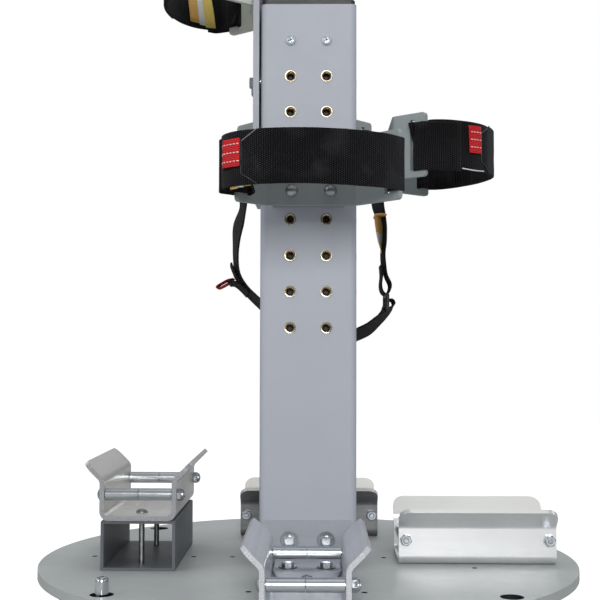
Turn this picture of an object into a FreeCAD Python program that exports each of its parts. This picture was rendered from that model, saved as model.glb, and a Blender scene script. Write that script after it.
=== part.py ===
import FreeCAD, Part
import math
import os
import re
import Sketcher

# Rotating storage tower for heavy hand tools.  A turntable on a floor plate carries a square
# column, four roller cradles for the tool bodies and four strap brackets that hold the tools
# upright.  Millimetres, +Z up, the origin on the floor under the column.  The side with the
# index pin faces -Y.

V = FreeCAD.Vector
Rotation = FreeCAD.Rotation
Placement = FreeCAD.Placement
X_AXIS = V(1, 0, 0)
Y_AXIS = V(0, 1, 0)
Z_AXIS = V(0, 0, 1)

SIZES = {
    # floor plate and slewing bearing
    "floor_radius": 279.4,
    "floor_thickness": 6.35,
    "floor_hole_radius": 5.55,
    "under_height": 50.8,
    "race_outer_radius": 155.0,
    "race_wall": 15.3,
    "race_flange_radius": "=race_outer_radius - race_wall",
    "race_flange_width": 12.7,
    "riser_radius": "=race_flange_radius - race_flange_width",
    "riser_wall": 25.4,
    "riser_bore": "=riser_radius - riser_wall",
    "riser_height": 25.4,
    "race_flange_lift": 5.5,
    "race_flange_thickness": 4.8,
    "race_clearance": 1.0,
    "liner_thickness": 2.0,
    "liner_clearance": 0.3,
    "clamp_thickness": 5.0,
    "ring_screw_count": 8,
    "ring_screw_head": 4.6,
    "ring_screw_head_height": 3.4,
    "ring_screw_grip": 7.0,
    # turntable plate
    "plate_radius": 285.75,
    "plate_thickness": 9.525,
    "index_edge": 13.5,
    "index_radius": "=floor_radius - index_edge",
    "index_hole_radius": 11.1,
    "side_hole_inner": 82.0,
    "side_hole_pair": 178.0,
    "side_hole_offset": 54.0,
    "side_hole_lateral": 172.5,
    # index pin
    "pin_radius": 6.35,
    "pin_stand": 16.4,
    "pin_collar_radius": 9.0,
    "pin_collar_thickness": 3.2,
    "pin_travel": 14.0,
    "pin_nose": 15.0,
    "pin_clearance": 0.1,
    "index_clearance": 0.45,
    "housing_radius": 12.4,
    "housing_wall": 2.6,
    "housing_cap": 2.6,
    "housing_low": 17.5,
    "spring_wire": 1.2,
    "spring_radius": 7.9,
    "spring_coils": 5,
    # column
    "column_width": 101.6,
    "column_wall": 4.76,
    "column_corner": 6.35,
    "column_height": 592.0,
    "cap_thickness": 5.6,
    "cap_chamfer": 1.2,
    "cap_depth": 45.0,
    "cap_inset": 1.5,
    "cap_skirt": 2.5,
    "cap_corner": 2.2,
    "cap_screw_drop": 39.2,
    "pan_radius": 5.7,
    "pan_height": 3.0,
    # threaded inserts
    "insert_pitch": 38.1,
    "insert_rows": 8,
    "insert_top_drop": 77.3,
    "insert_first": "=column_height - insert_top_drop - (insert_rows - 1) * insert_pitch",
    "insert_radius": 4.9,
    "insert_bore": 3.0,
    "insert_flange": 6.2,
    "insert_lip": 0.8,
    "insert_length": 11.0,
    # fasteners
    "bolt_radius": 2.9,
    "hole_clearance": 0.1,
    "clearance_hole": 3.4,
    "hex_width": 11.1,
    "hex_height": 4.2,
    "washer_radius": 9.3,
    "washer_thickness": 1.5,
    "button_radius": 6.2,
    "button_height": 3.3,
    "nut_height": 7.0,
    # foot brackets
    "foot_width": 98.4,
    "foot_tongue": 66.0,
    "foot_tongue_relief": 3.5,
    "foot_thickness": 4.76,
    "foot_height": 43.0,
    "foot_reach": 79.0,
    "foot_bolt_reach": 55.5,
    "foot_bolt_height": 23.0,
    "foot_corner": 9.0,
    # roller cradles
    "cradle_width": 78.3,
    "cradle_length": 165.1,
    "cradle_thickness": 4.76,
    "cradle_bend_height": 39.7,
    "cradle_flare": 17.0,
    "cradle_floor_bend": 9.5,
    "cradle_flare_bend": 6.0,
    "cradle_corner": 12.0,
    "cradle_axle_height": 26.0,
    "cradle_axle_inset": 7.5,
    "roller_radius": 6.35,
    "roller_length": 33.35,
    "roller_gap": 0.6,
    "roller_fit": 0.1,
    "axle_radius": 3.1,
    "front_cradle_reach": 190.0,
    "side_cradle_reach": 178.0,
    "rear_cradle_reach": 172.5,
    "left_cradle_reach": 172.5,
    "riser_tube_width": 76.2,
    "riser_tube_height": 50.8,
    "riser_tube_wall": 3.2,
    "riser_tube_corner": 1.8,
    "riser_tube_length": 160.0,
    # strap brackets
    "bracket_width": 92.6,
    "bracket_height": 67.0,
    "bracket_thickness": 4.76,
    "bracket_bend": 3.5,
    "wing_angle": 50.0,
    "short_wing": 41.9,
    "long_wing": 62.5,
    "wing_corner": 4.0,
    "slot_width": 6.4,
    "slot_height": 53.0,
    "outer_bar": 13.0,
    "front_bracket_height": "=insert_first + 4 * insert_pitch",
    "front_bracket_shift": 3.2,
    "front_spacer_depth": 76.2,
    "right_bracket_height": "=insert_first + 5 * insert_pitch",
    "right_spacer_depth": 38.1,
    "rear_bracket_height": "=insert_first + 5.5 * insert_pitch",
    "left_bracket_rise": 34.0,
    "left_bracket_height": "=column_height + left_bracket_rise",
    "spacer_height": 50.8,
    "spacer_length": 76.2,
    "spacer_wall": 3.2,
    "extension_thickness": 6.35,
    "extension_gap": 1.8,
    "extension_margin": 34.5,
    "extension_length": 275.5,
    "extension_top": "=left_bracket_height + extension_margin",
    "extension_bottom": "=extension_top - extension_length",
    "extension_corner": 6.0,
    # straps and what is sewn on them
    "strap_width": 50.8,
    "strap_thickness": 4.6,
    "strap_layer": 2.3,
    "strap_clearance": 0.3,
    "strap_exit": 2.8,
    "tab_width": 29.0,
    "tab_thickness": 1.4,
    "tab_length": 22.0,
    "ring_length": 62.0,
    "ring_height": 21.0,
    "ring_bar": 2.2,
}

doc = FreeCAD.newDocument("tool_tower")
sheet = doc.addObject("Spreadsheet::Sheet", "Sizes")
for row, (alias, number) in enumerate(SIZES.items(), 1):
    sheet.set(f"A{row}", alias)
    sheet.set(f"B{row}", str(number))
    sheet.setAlias(f"B{row}", alias)
doc.recompute()

# Sums of cells that many pieces share, written as expressions.
DECK = "(under_height + plate_thickness)"
FACE = "(column_width / 2)"
AXLE_Y = "(cradle_length / 2 - cradle_axle_inset)"
FLOOR_TOP = "floor_thickness"
RACE_BASE = "(floor_thickness + riser_height)"
FLANGE_LOW = "(floor_thickness + riser_height + race_flange_lift)"
FLANGE_HIGH = "(floor_thickness + riser_height + race_flange_lift + race_flange_thickness)"
LINER_RIM = "(race_flange_radius + liner_clearance)"
LINER_LOW = f"({FLANGE_LOW} - liner_clearance - liner_thickness)"
LINER_HIGH = f"({FLANGE_HIGH} + liner_clearance + liner_thickness)"
CAP_SCREW_HEIGHT = f"({DECK} + column_height - cap_screw_drop)"

parts = []


def cells(expression):
    """The expression with every cell name given its sheet, as setExpression wants it."""
    return re.sub(r"\b([a-z]+_[a-z_]+|[a-z_]+_[a-z_]+)\b", r"Sizes.\1", str(expression))


def value(expression):
    """What an expression of cell names comes to now."""
    return float(sheet.evalExpression(str(expression)))


def bind(target, **expressions):
    for name, expression in expressions.items():
        target.setExpression(name.replace("__", "."), cells(expression))


def place(target, x="0", y="0", z="0", axis=Z_AXIS, angle=0.0):
    target.Placement = Placement(V(value(x), value(y), value(z)), Rotation(axis, angle))
    bind(target, Placement__Base__x=x, Placement__Base__y=y, Placement__Base__z=z)
    return target


def keep(target, label):
    """Names a finished sub-part; its label is also its file name."""
    target.Label = label
    parts.append(target)
    return target


# ---------------------------------------------------------------- sketches and features

def new_body(name):
    return doc.addObject("PartDesign::Body", name + "_body")


def sketch(body, plane="XY", lift="0", spin=None, shift="0"):
    """A sketch on one of the body's origin planes, lifted along the plane's normal.

    spin is the axis about which it is turned by the wing angle, at the distance shift."""
    drawing = body.newObject("Sketcher::SketchObject", body.Name + "_sketch")
    role = plane + "_Plane"
    origin_plane = [item for item in body.Origin.OriginFeatures if item.Role == role][0]
    drawing.AttachmentSupport = [(origin_plane, "")]
    drawing.MapMode = "FlatFace"
    if spin is not None:
        turn = Rotation(spin, value("wing_angle"))
        drawing.AttachmentOffset = Placement(V(value(shift), 0, value(lift)), turn)
        drawing.setExpression("AttachmentOffset.Rotation.Angle", cells("wing_angle * 1deg"))
    bind(drawing, AttachmentOffset__Base__x=shift, AttachmentOffset__Base__z=lift)
    return drawing


def pin_point(drawing, geometry, position, x, y):
    """Fixes one point of the sketch at two cell expressions."""
    for kind, expression in (("DistanceX", x), ("DistanceY", y)):
        number = drawing.addConstraint(
            Sketcher.Constraint(kind, -1, 1, geometry, position, value(expression)))
        drawing.setExpression(f"Constraints[{number}]", cells(expression))


def polygon(drawing, corners):
    first = drawing.GeometryCount
    points = [V(value(x), value(y), 0) for x, y in corners]
    count = len(points)
    for index in range(count):
        line = Part.LineSegment(points[index], points[(index + 1) % count])
        drawing.addGeometry(line, False)
    for index in range(count):
        drawing.addConstraint(Sketcher.Constraint(
            "Coincident", first + index, 2, first + (index + 1) % count, 1))
    for index, (x, y) in enumerate(corners):
        pin_point(drawing, first + index, 1, x, y)


def rectangle(drawing, x_low, x_high, y_low, y_high):
    polygon(drawing, [(x_low, y_low), (x_high, y_low), (x_high, y_high), (x_low, y_high)])


def circle(drawing, x, y, radius):
    ring = Part.Circle(V(value(x), value(y), 0), Z_AXIS, value(radius))
    index = drawing.addGeometry(ring, False)
    pin_point(drawing, index, 3, x, y)
    number = drawing.addConstraint(Sketcher.Constraint("Radius", index, value(radius)))
    drawing.setExpression(f"Constraints[{number}]", cells(radius))


def pad(body, drawing, length, midplane=False):
    feature = body.newObject("PartDesign::Pad", body.Name + "_pad")
    feature.Profile = drawing
    feature.Midplane = midplane
    bind(feature, Length=length)
    doc.recompute()
    return feature


def pocket(body, drawing, length=None, reverse=False):
    """A cut as deep as length, or through everything both ways where no length is given."""
    feature = body.newObject("PartDesign::Pocket", body.Name + "_pocket")
    feature.Profile = drawing
    feature.Reversed = reverse
    if length is None:
        feature.Type = 1
        feature.Midplane = True
    else:
        bind(feature, Length=length)
    doc.recompute()
    return feature


def revolve(body, drawing):
    feature = body.newObject("PartDesign::Revolution", body.Name + "_revolution")
    feature.Profile = drawing
    feature.ReferenceAxis = (drawing, ["V_Axis"])
    feature.Angle = 360
    doc.recompute()
    return feature


def polar(body, feature, count):
    """Repeats a feature about Z."""
    pattern = body.newObject("PartDesign::PolarPattern", body.Name + "_polar")
    pattern.Originals = [feature]
    axis = [item for item in body.Origin.OriginFeatures if item.Role == "Z_Axis"][0]
    pattern.Axis = (axis, [""])
    pattern.Angle = 360
    pattern.Occurrences = int(count)
    body.Tip = pattern
    doc.recompute()
    return pattern


def round_edges(body, radius, test):
    """Fillets the straight edges whose middle and direction pass the test."""
    shape = body.Shape
    solid = body.Tip
    names = []
    for index, edge in enumerate(shape.Edges, 1):
        if not isinstance(edge.Curve, Part.Line):
            continue
        ends = [vertex.Point for vertex in edge.Vertexes]
        middle = (ends[0] + ends[1]) * 0.5
        along = (ends[1] - ends[0]).normalize()
        if test(middle, along):
            names.append(f"Edge{index}")
    feature = body.newObject("PartDesign::Fillet", body.Name + "_fillet")
    feature.Base = (solid, names)
    bind(feature, Radius=radius)
    doc.recompute()
    return feature


def near(first, second, within=0.05):
    return abs(first - second) < within


# ---------------------------------------------------------------- shapes of fasteners

def prism(corners, height):
    """A regular six-sided bar standing on z = 0."""
    wire = Part.makePolygon([V(*corner, 0) for corner in corners + corners[:1]])
    return Part.Face(wire).extrude(V(0, 0, height))


def hexagon(width):
    reach = width / math.sqrt(3)
    return [(reach * math.cos(math.radians(60 * k)), reach * math.sin(math.radians(60 * k)))
            for k in range(6)]


def hex_bolt(length):
    """A hex-head bolt: its head stands on z = 0 and its shank points down."""
    head = prism(hexagon(value("hex_width")), value("hex_height"))
    shank = Part.makeCylinder(value("bolt_radius"), length, V(0, 0, -length))
    return head.fuse(shank).removeSplitter()


def button_bolt(length, radius="bolt_radius"):
    """A button-head bolt: its head stands on z = 0 and its shank points down."""
    rim = value("button_radius")
    head = Part.makeCone(rim, 0.62 * rim, value("button_height"))
    shank = Part.makeCylinder(value(radius), length, V(0, 0, -length))
    return head.fuse(shank).removeSplitter()


def lock_nut(radius="bolt_radius"):
    """A hex lock nut, standing on z = 0."""
    body = prism(hexagon(value("hex_width")), value("nut_height"))
    bore = Part.makeCylinder(value(radius) + value("hole_clearance"), value("nut_height"))
    return body.cut(bore)


def washer():
    disc = Part.makeCylinder(value("washer_radius"), value("washer_thickness"))
    return disc.cut(Part.makeCylinder(value("clearance_hole"), value("washer_thickness")))


def group(label, shapes):
    """Several separate solids of one kind, kept as one sub-part."""
    holder = doc.addObject("Part::Feature", label)
    holder.Shape = Part.makeCompound(shapes)
    return keep(holder, label)


def put(shape, position, turn=None):
    copy = shape.copy()
    copy.Placement = Placement(position, turn or Rotation())
    return copy


def facing(direction):
    """The turn that points a piece's +Z along the direction."""
    return Rotation(Z_AXIS, direction)


OUTWARD = {"front": V(0, -1, 0), "right": V(1, 0, 0), "rear": V(0, 1, 0), "left": V(-1, 0, 0)}
SIDE_ANGLE = {"front": 0, "right": 90, "rear": 180, "left": 270}


def on_side(side, x, y, z):
    """A point given for the front side, turned to another side."""
    return Rotation(Z_AXIS, SIDE_ANGLE[side]).multVec(V(x, y, z))


# ---------------------------------------------------------------- floor plate and bearing

def make_floor_plate():
    body = new_body("floor_plate")
    disc = sketch(body)
    circle(disc, "0", "0", "floor_radius")
    pad(body, disc, "floor_thickness")
    hole = sketch(body)
    circle(hole, "index_radius", "0", "floor_hole_radius")
    polar(body, pocket(body, hole), 4)
    spot = "index_radius * sqrt(0.5)"
    index_hole = sketch(body)
    circle(index_hole, spot, spot, "pin_radius + index_clearance")
    polar(body, pocket(body, index_hole), 4)
    keep(body, "floor_plate")


def make_ring(label, corners):
    """A turned ring from its half section, drawn as radius and height."""
    body = new_body(label)
    section = sketch(body, "XZ")
    polygon(section, corners)
    revolve(body, section)
    return keep(body, label)


RACE_SCREW_CIRCLE = "((riser_bore + riser_radius) / 2)"
CLAMP_SCREW_CIRCLE = f"(({LINER_RIM} + liner_thickness + race_outer_radius) / 2)"


def drill_ring(body, circle_radius, radius, lift, length, reverse=False):
    """Evenly spaced holes in a ring, cut from the height lift."""
    hole = sketch(body, "XY", lift)
    circle(hole, circle_radius, "0", radius)
    polar(body, pocket(body, hole, length, reverse), value("ring_screw_count"))


def ring_screws(label, circle_radius, height, length, head_up):
    """Low-head screws; height is the seat under the heads."""
    head = Part.makeCylinder(value("ring_screw_head"), value("ring_screw_head_height"))
    shank = Part.makeCylinder(value("bolt_radius"), value(length), V(0, 0, -value(length)))
    screw = head.fuse(shank).removeSplitter()
    turn = Rotation() if head_up else Rotation(X_AXIS, 180)
    count = int(value("ring_screw_count"))
    radius = value(circle_radius)
    shapes = []
    for step in range(count):
        angle = 2 * math.pi * step / count
        spot = V(radius * math.cos(angle), radius * math.sin(angle), value(height))
        shapes.append(put(screw, spot, turn))
    group(label, shapes)


def make_bearing():
    tapped = "bolt_radius + hole_clearance"
    counterbore = "ring_screw_head + 4 * hole_clearance"
    sunk = "(ring_screw_head_height + 4 * hole_clearance)"
    riser = make_ring("riser_ring", [
        ("riser_bore", FLOOR_TOP), ("riser_radius", FLOOR_TOP),
        ("riser_radius", RACE_BASE), ("riser_bore", RACE_BASE)])
    drill_ring(riser, RACE_SCREW_CIRCLE, tapped, RACE_BASE, "2 * ring_screw_grip")
    hub = "(riser_radius - 1.5)"
    top = "(under_height - race_clearance)"
    lower = make_ring("lower_race", [
        ("riser_bore", RACE_BASE), (hub, RACE_BASE), (hub, FLANGE_LOW),
        ("race_flange_radius", FLANGE_LOW), ("race_flange_radius", FLANGE_HIGH),
        (hub, FLANGE_HIGH), (hub, top), ("riser_bore", top)])
    drill_ring(lower, RACE_SCREW_CIRCLE, counterbore, top, sunk)
    drill_ring(lower, RACE_SCREW_CIRCLE, tapped, top, "under_height")
    seat = f"({top} - {sunk})"
    ring_screws("race_screws", RACE_SCREW_CIRCLE, seat,
                f"{seat} - {RACE_BASE} + ring_screw_grip", True)
    lip = f"({hub} + liner_clearance)"
    rim = f"({LINER_RIM} + liner_thickness)"
    make_ring("slide_liner", [
        (lip, LINER_LOW), (rim, LINER_LOW), (rim, LINER_HIGH), (lip, LINER_HIGH),
        (lip, f"{FLANGE_HIGH} + liner_clearance"), (LINER_RIM, f"{FLANGE_HIGH} + liner_clearance"),
        (LINER_RIM, f"{FLANGE_LOW} - liner_clearance"), (lip, f"{FLANGE_LOW} - liner_clearance")])
    upper = make_ring("upper_race", [
        (f"{hub} + race_clearance", LINER_HIGH), (rim, LINER_HIGH), (rim, LINER_LOW),
        ("race_outer_radius", LINER_LOW), ("race_outer_radius", "under_height"),
        (f"{hub} + race_clearance", "under_height")])
    drill_ring(upper, CLAMP_SCREW_CIRCLE, tapped, "under_height", "under_height")
    clamp_low = f"({LINER_LOW} - clamp_thickness)"
    clamp = make_ring("clamp_ring", [
        ("riser_radius + race_clearance", clamp_low), ("race_outer_radius", clamp_low),
        ("race_outer_radius", LINER_LOW), ("riser_radius + race_clearance", LINER_LOW)])
    drill_ring(clamp, CLAMP_SCREW_CIRCLE, tapped, "under_height", "under_height")
    ring_screws("clamp_screws", CLAMP_SCREW_CIRCLE, clamp_low,
                f"under_height - {clamp_low} + ring_screw_grip - 0.5", False)


# ---------------------------------------------------------------- index pin

def make_index_pin():
    """The lock: a foot button whose nose drops into one of the floor plate's index holes."""
    spot = "index_radius * sqrt(0.5)"
    pin_top = f"({DECK} + pin_stand)"
    cap_low = "(under_height - housing_cap)"
    seat = "(housing_low + housing_cap)"
    collar_high = f"({cap_low} - strap_clearance)"
    collar_low = f"({collar_high} - pin_collar_thickness)"
    shell = new_body("plunger_housing")
    section = sketch(shell, "XZ")
    bore = "(pin_radius + pin_clearance)"
    inside = "(housing_radius - housing_wall)"
    polygon(section, [(bore, "housing_low"), ("housing_radius", "housing_low"),
                      ("housing_radius", "under_height"), (bore, "under_height"),
                      (bore, cap_low), (inside, cap_low), (inside, seat), (bore, seat)])
    revolve(shell, section)
    place(shell, "-" + spot, "-" + spot)
    keep(shell, "plunger_housing")

    pin = new_body("index_pin")
    section = sketch(pin, "XZ")
    dome = "(pin_radius * 0.45)"
    tip = "(pin_radius * 0.85)"
    polygon(section, [("0", "pin_nose"), (tip, "pin_nose"),
                      ("pin_radius", "pin_nose + pin_radius - " + tip),
                      ("pin_radius", collar_low), ("pin_collar_radius", collar_low),
                      ("pin_collar_radius", collar_high), ("pin_radius", collar_high),
                      ("pin_radius", f"{pin_top} - 4"),
                      ("pin_radius * 0.92", f"{pin_top} - 2"),
                      ("pin_radius * 0.7", f"{pin_top} - 0.7"),
                      (dome, f"{pin_top} - 0.15"), ("0", pin_top)])
    revolve(pin, section)
    place(pin, "-" + spot, "-" + spot)
    keep(pin, "index_pin")

    wire = value("spring_wire")
    low = value(seat)
    rise = value(collar_low) - low - wire
    coils = value("spring_coils")
    helix = Part.makeHelix(rise / coils, rise, value("spring_radius"))
    inner = value("spring_radius") - wire / 2
    corners = [V(inner, 0, 0), V(inner + wire, 0, 0), V(inner + wire, 0, wire),
               V(inner, 0, wire)]
    section = Part.makePolygon(corners + corners[:1])
    coil = Part.Wire(helix.Edges).makePipeShell([section], True, True)
    corner = -value(spot)
    coil.Placement = Placement(V(corner, corner, low), Rotation())
    group("plunger_spring", [coil])


# ---------------------------------------------------------------- turntable plate

def make_turntable_plate():
    body = new_body("turntable_plate")
    disc = sketch(body, "XY", "under_height")
    circle(disc, "0", "0", "plate_radius")
    pad(body, disc, "plate_thickness")
    corner = sketch(body, "XY", "under_height")
    diagonal = "index_radius * sqrt(0.5)"
    circle(corner, diagonal, diagonal, "index_hole_radius")
    polar(body, pocket(body, corner), 4)
    tapped = "bolt_radius + hole_clearance"
    side = sketch(body, "XY", "under_height")
    circle(side, "side_hole_inner", "0", tapped)
    circle(side, "side_hole_pair - side_hole_offset", "0", tapped)
    circle(side, "side_hole_pair + side_hole_offset", "0", tapped)
    circle(side, "side_hole_lateral", "side_hole_offset", tapped)
    circle(side, "side_hole_lateral", "-side_hole_offset", tapped)
    polar(body, pocket(body, side), 4)
    extra = sketch(body, "XY", "under_height")
    circle(extra, "0", "-front_cradle_reach - side_hole_offset", tapped)
    circle(extra, "0", "-front_cradle_reach + side_hole_offset", tapped)
    for across in ("-insert_pitch / 2", "insert_pitch / 2"):
        circle(extra, across, f"-{FACE} - foot_bolt_reach", tapped)
        circle(extra, across, f"{FACE} + foot_bolt_reach", tapped)
    pocket(body, extra)
    drill_ring(body, CLAMP_SCREW_CIRCLE, tapped, "under_height", "ring_screw_grip", reverse=True)
    keep(body, "turntable_plate")


# ---------------------------------------------------------------- column

def insert_rows(side):
    """Heights above the plate of the threaded inserts on one side of the column."""
    return [value("insert_first") + value("insert_pitch") * row
            for row in range(int(value("insert_rows")))]


def make_column():
    body = new_body("column")
    outer = sketch(body, "XY", DECK)
    rectangle(outer, f"-{FACE}", FACE, f"-{FACE}", FACE)
    pad(body, outer, "column_height")
    half = value(FACE)
    round_edges(body, "column_corner",
                lambda middle, along: near(abs(middle.x), half) and near(abs(middle.y), half)
                and near(abs(along.z), 1))
    inside = f"({FACE} - column_wall)"
    inner = sketch(body, "XY", DECK)
    rectangle(inner, f"-{inside}", inside, f"-{inside}", inside)
    pocket(body, inner)
    reach = value(inside)
    round_edges(body, "column_corner - column_wall",
                lambda middle, along: near(abs(middle.x), reach) and near(abs(middle.y), reach)
                and near(abs(along.z), 1))
    for plane in ("XZ", "YZ"):
        holes = sketch(body, plane)
        for row in range(int(value("insert_rows"))):
            height = f"{DECK} + insert_first + insert_pitch * {row}"
            circle(holes, "-insert_pitch / 2", height, "insert_radius")
            circle(holes, "insert_pitch / 2", height, "insert_radius")
        pocket(body, holes)
    top = sketch(body, "XZ")
    circle(top, "-insert_pitch / 2", CAP_SCREW_HEIGHT, "bolt_radius + hole_clearance")
    circle(top, "insert_pitch / 2", CAP_SCREW_HEIGHT, "bolt_radius + hole_clearance")
    pocket(body, top)
    for side, lift, sign in (("front", "cradle_thickness", 1), ("rear", "0", -1)):
        feet = sketch(body, "XZ", "0")
        height = f"{DECK} + {lift} + foot_bolt_height"
        circle(feet, "-insert_pitch / 2", height, "bolt_radius + hole_clearance")
        circle(feet, "insert_pitch / 2", height, "bolt_radius + hole_clearance")
        pocket(body, feet, FACE, reverse=(sign > 0))
    keep(body, "column")


def make_column_cap():
    body = new_body("column_cap")
    lid = sketch(body, "XY", f"{DECK} + column_height")
    reach = f"({FACE} - cap_inset)"
    rectangle(lid, f"-{reach}", reach, f"-{reach}", reach)
    pad(body, lid, "cap_thickness")
    half = value(reach)
    round_edges(body, "column_corner - cap_inset",
                lambda middle, along: near(abs(middle.x), half) and near(abs(middle.y), half)
                and near(abs(along.z), 1))
    rim = value(f"{DECK} + column_height + cap_thickness")
    upper = body.Tip
    chamfer = body.newObject("PartDesign::Chamfer", "cap_rim")
    chamfer.Base = (upper, [f"Edge{number}" for number, edge in enumerate(upper.Shape.Edges, 1)
                            if near(edge.CenterOfMass.z, rim)])
    bind(chamfer, Size="cap_chamfer")
    doc.recompute()
    plug = sketch(body, "XY", f"{DECK} + column_height - cap_depth")
    inside = f"({FACE} - column_wall - strap_clearance)"
    rectangle(plug, f"-{inside}", inside, f"-{inside}", inside)
    pad(body, plug, "cap_depth")
    corner = value(inside)
    round_edges(body, "cap_corner",
                lambda middle, along: near(abs(middle.x), corner) and near(abs(middle.y), corner)
                and near(abs(along.z), 1))
    hollow = sketch(body, "XY", f"{DECK} + column_height - cap_depth")
    core = f"({inside} - cap_skirt)"
    rectangle(hollow, f"-{core}", core, f"-{core}", core)
    pocket(body, hollow, "cap_depth", reverse=True)
    holes = sketch(body, "XZ")
    circle(holes, "-insert_pitch / 2", CAP_SCREW_HEIGHT, "bolt_radius + hole_clearance")
    circle(holes, "insert_pitch / 2", CAP_SCREW_HEIGHT, "bolt_radius + hole_clearance")
    pocket(body, holes)
    keep(body, "column_cap")


def insert_shape():
    """A flanged threaded insert, its flange on z = 0 and its barrel pointing down."""
    lip = value("insert_lip")
    barrel = value("insert_radius") - value("hole_clearance")
    shape = Part.makeCylinder(value("insert_flange"), lip)
    stem = Part.makeCylinder(barrel, value("insert_length"), V(0, 0, -value("insert_length")))
    bore = Part.makeCylinder(value("insert_bore"), value("insert_length") + lip,
                             V(0, 0, -value("insert_length")))
    return shape.fuse(stem).cut(bore)


def make_inserts():
    shape = insert_shape()
    for side, outward in OUTWARD.items():
        shapes = []
        for height in insert_rows(side):
            for across in (-0.5, 0.5):
                spot = on_side(side, across * value("insert_pitch"), -value(FACE),
                               value(DECK) + height)
                shapes.append(put(shape, spot, facing(outward)))
        group("inserts_" + side, shapes)


def make_cap_screws():
    """Pan-head screws above the top row of inserts hold the cap, front and rear."""
    head = Part.makeCone(value("pan_radius"), 0.72 * value("pan_radius"), value("pan_height"))
    grip = value("column_wall + strap_clearance + cap_skirt") + 1.5
    shank = Part.makeCylinder(value("bolt_radius"), grip, V(0, 0, -grip))
    screw = head.fuse(shank).removeSplitter()
    group("cap_screws", [
        put(screw, on_side(side, across * value("insert_pitch"), -value(FACE),
                           value(CAP_SCREW_HEIGHT)), facing(OUTWARD[side]))
        for side in ("front", "rear") for across in (-0.5, 0.5)])


# ---------------------------------------------------------------- foot brackets

def make_foot_bracket(label, side, lift):
    """An angle bracket: a wide upright flange on the column, a narrow tongue on the plate."""
    body = new_body(label)
    section = sketch(body, "YZ")
    near_face = f"(-{FACE})"
    polygon(section, [
        (near_face, "0"), (near_face, "foot_height"),
        (f"{near_face} - foot_thickness", "foot_height"),
        (f"{near_face} - foot_thickness", "foot_thickness"),
        (f"{near_face} - foot_reach", "foot_thickness"), (f"{near_face} - foot_reach", "0")])
    pad(body, section, "foot_width", midplane=True)
    face = value(near_face)
    inner = face - value("foot_thickness")
    round_edges(body, "3.0", lambda middle, along: near(abs(along.x), 1)
                and near(middle.y, inner) and near(middle.z, value("foot_thickness")))
    round_edges(body, "foot_thickness + 3.0 - 0.4", lambda middle, along: near(abs(along.x), 1)
                and near(middle.y, face) and near(middle.z, 0))
    trim = sketch(body, "XY", "foot_thickness")
    outer_edge = f"{near_face} - foot_reach - 1"
    back_edge = f"{near_face} - foot_thickness - 6"
    rectangle(trim, "foot_tongue / 2", "foot_width / 2 + 1", outer_edge, back_edge)
    rectangle(trim, "-foot_width / 2 - 1", "-foot_tongue / 2", outer_edge, back_edge)
    pocket(body, trim)
    tip = face - value("foot_reach")
    half = value("foot_tongue") / 2
    relief = sketch(body, "XZ", f"{FACE} + foot_reach")
    for sign in ("", "-"):
        polygon(relief, [(f"{sign}(foot_tongue / 2 - foot_tongue_relief)", "0"),
                         (f"{sign}foot_tongue / 2", "0"),
                         (f"{sign}foot_tongue / 2", "foot_tongue_relief")])
    pocket(body, relief, "foot_reach - foot_thickness - 6")
    round_edges(body, "foot_corner", lambda middle, along: near(abs(along.z), 1)
                and near(abs(middle.x), half) and near(middle.y, tip))
    high = value("foot_height")
    wide = value("foot_width") / 2
    round_edges(body, "5.0", lambda middle, along: near(abs(along.y), 1)
                and near(abs(middle.x), wide) and near(middle.z, high))
    upright = sketch(body, "XZ", FACE)
    tongue = sketch(body, "XY", "foot_thickness")
    for across in ("-insert_pitch / 2", "insert_pitch / 2"):
        circle(upright, across, "foot_bolt_height", "clearance_hole")
        circle(tongue, across, f"{near_face} - foot_bolt_reach", "clearance_hole")
    pocket(body, upright)
    pocket(body, tongue)
    place(body, z=f"{DECK} + {lift}", angle=SIDE_ANGLE[side])
    keep(body, label)


def make_feet():
    lifts = {"front": "cradle_thickness", "rear": "0"}
    bolts = []
    washers = []
    for side, lift in lifts.items():
        make_foot_bracket("foot_bracket_" + side, side, lift)
        base = value(DECK) + value(lift)
        stack = value("foot_thickness")
        seat = stack + value("washer_thickness")
        down = hex_bolt(seat + value("plate_thickness") + value(lift) - 1.0)
        across_bolt = hex_bolt(seat + value("column_wall") + 3.0)
        for across in (-0.5, 0.5):
            x = across * value("insert_pitch")
            y = -value(FACE) - value("foot_bolt_reach")
            washers.append(put(washer(), on_side(side, x, y, base + stack)))
            bolts.append(put(down, on_side(side, x, y, base + seat), Rotation(Z_AXIS, 17)))
            height = base + value("foot_bolt_height")
            turn = facing(OUTWARD[side])
            washers.append(put(washer(), on_side(side, x, -value(FACE) - stack, height), turn))
            bolts.append(put(across_bolt, on_side(side, x, -value(FACE) - seat, height), turn))
    group("foot_bolts", bolts)
    group("foot_washers", washers)


# ---------------------------------------------------------------- roller cradles

CRADLES = {
    "front": ("0", "-front_cradle_reach", "0", 0),
    "right": ("side_cradle_reach", "0", "0", 90),
    "rear": ("0", "rear_cradle_reach", "0", 90),
    "left": ("-left_cradle_reach", "0", "riser_tube_height", 0),
}


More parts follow.
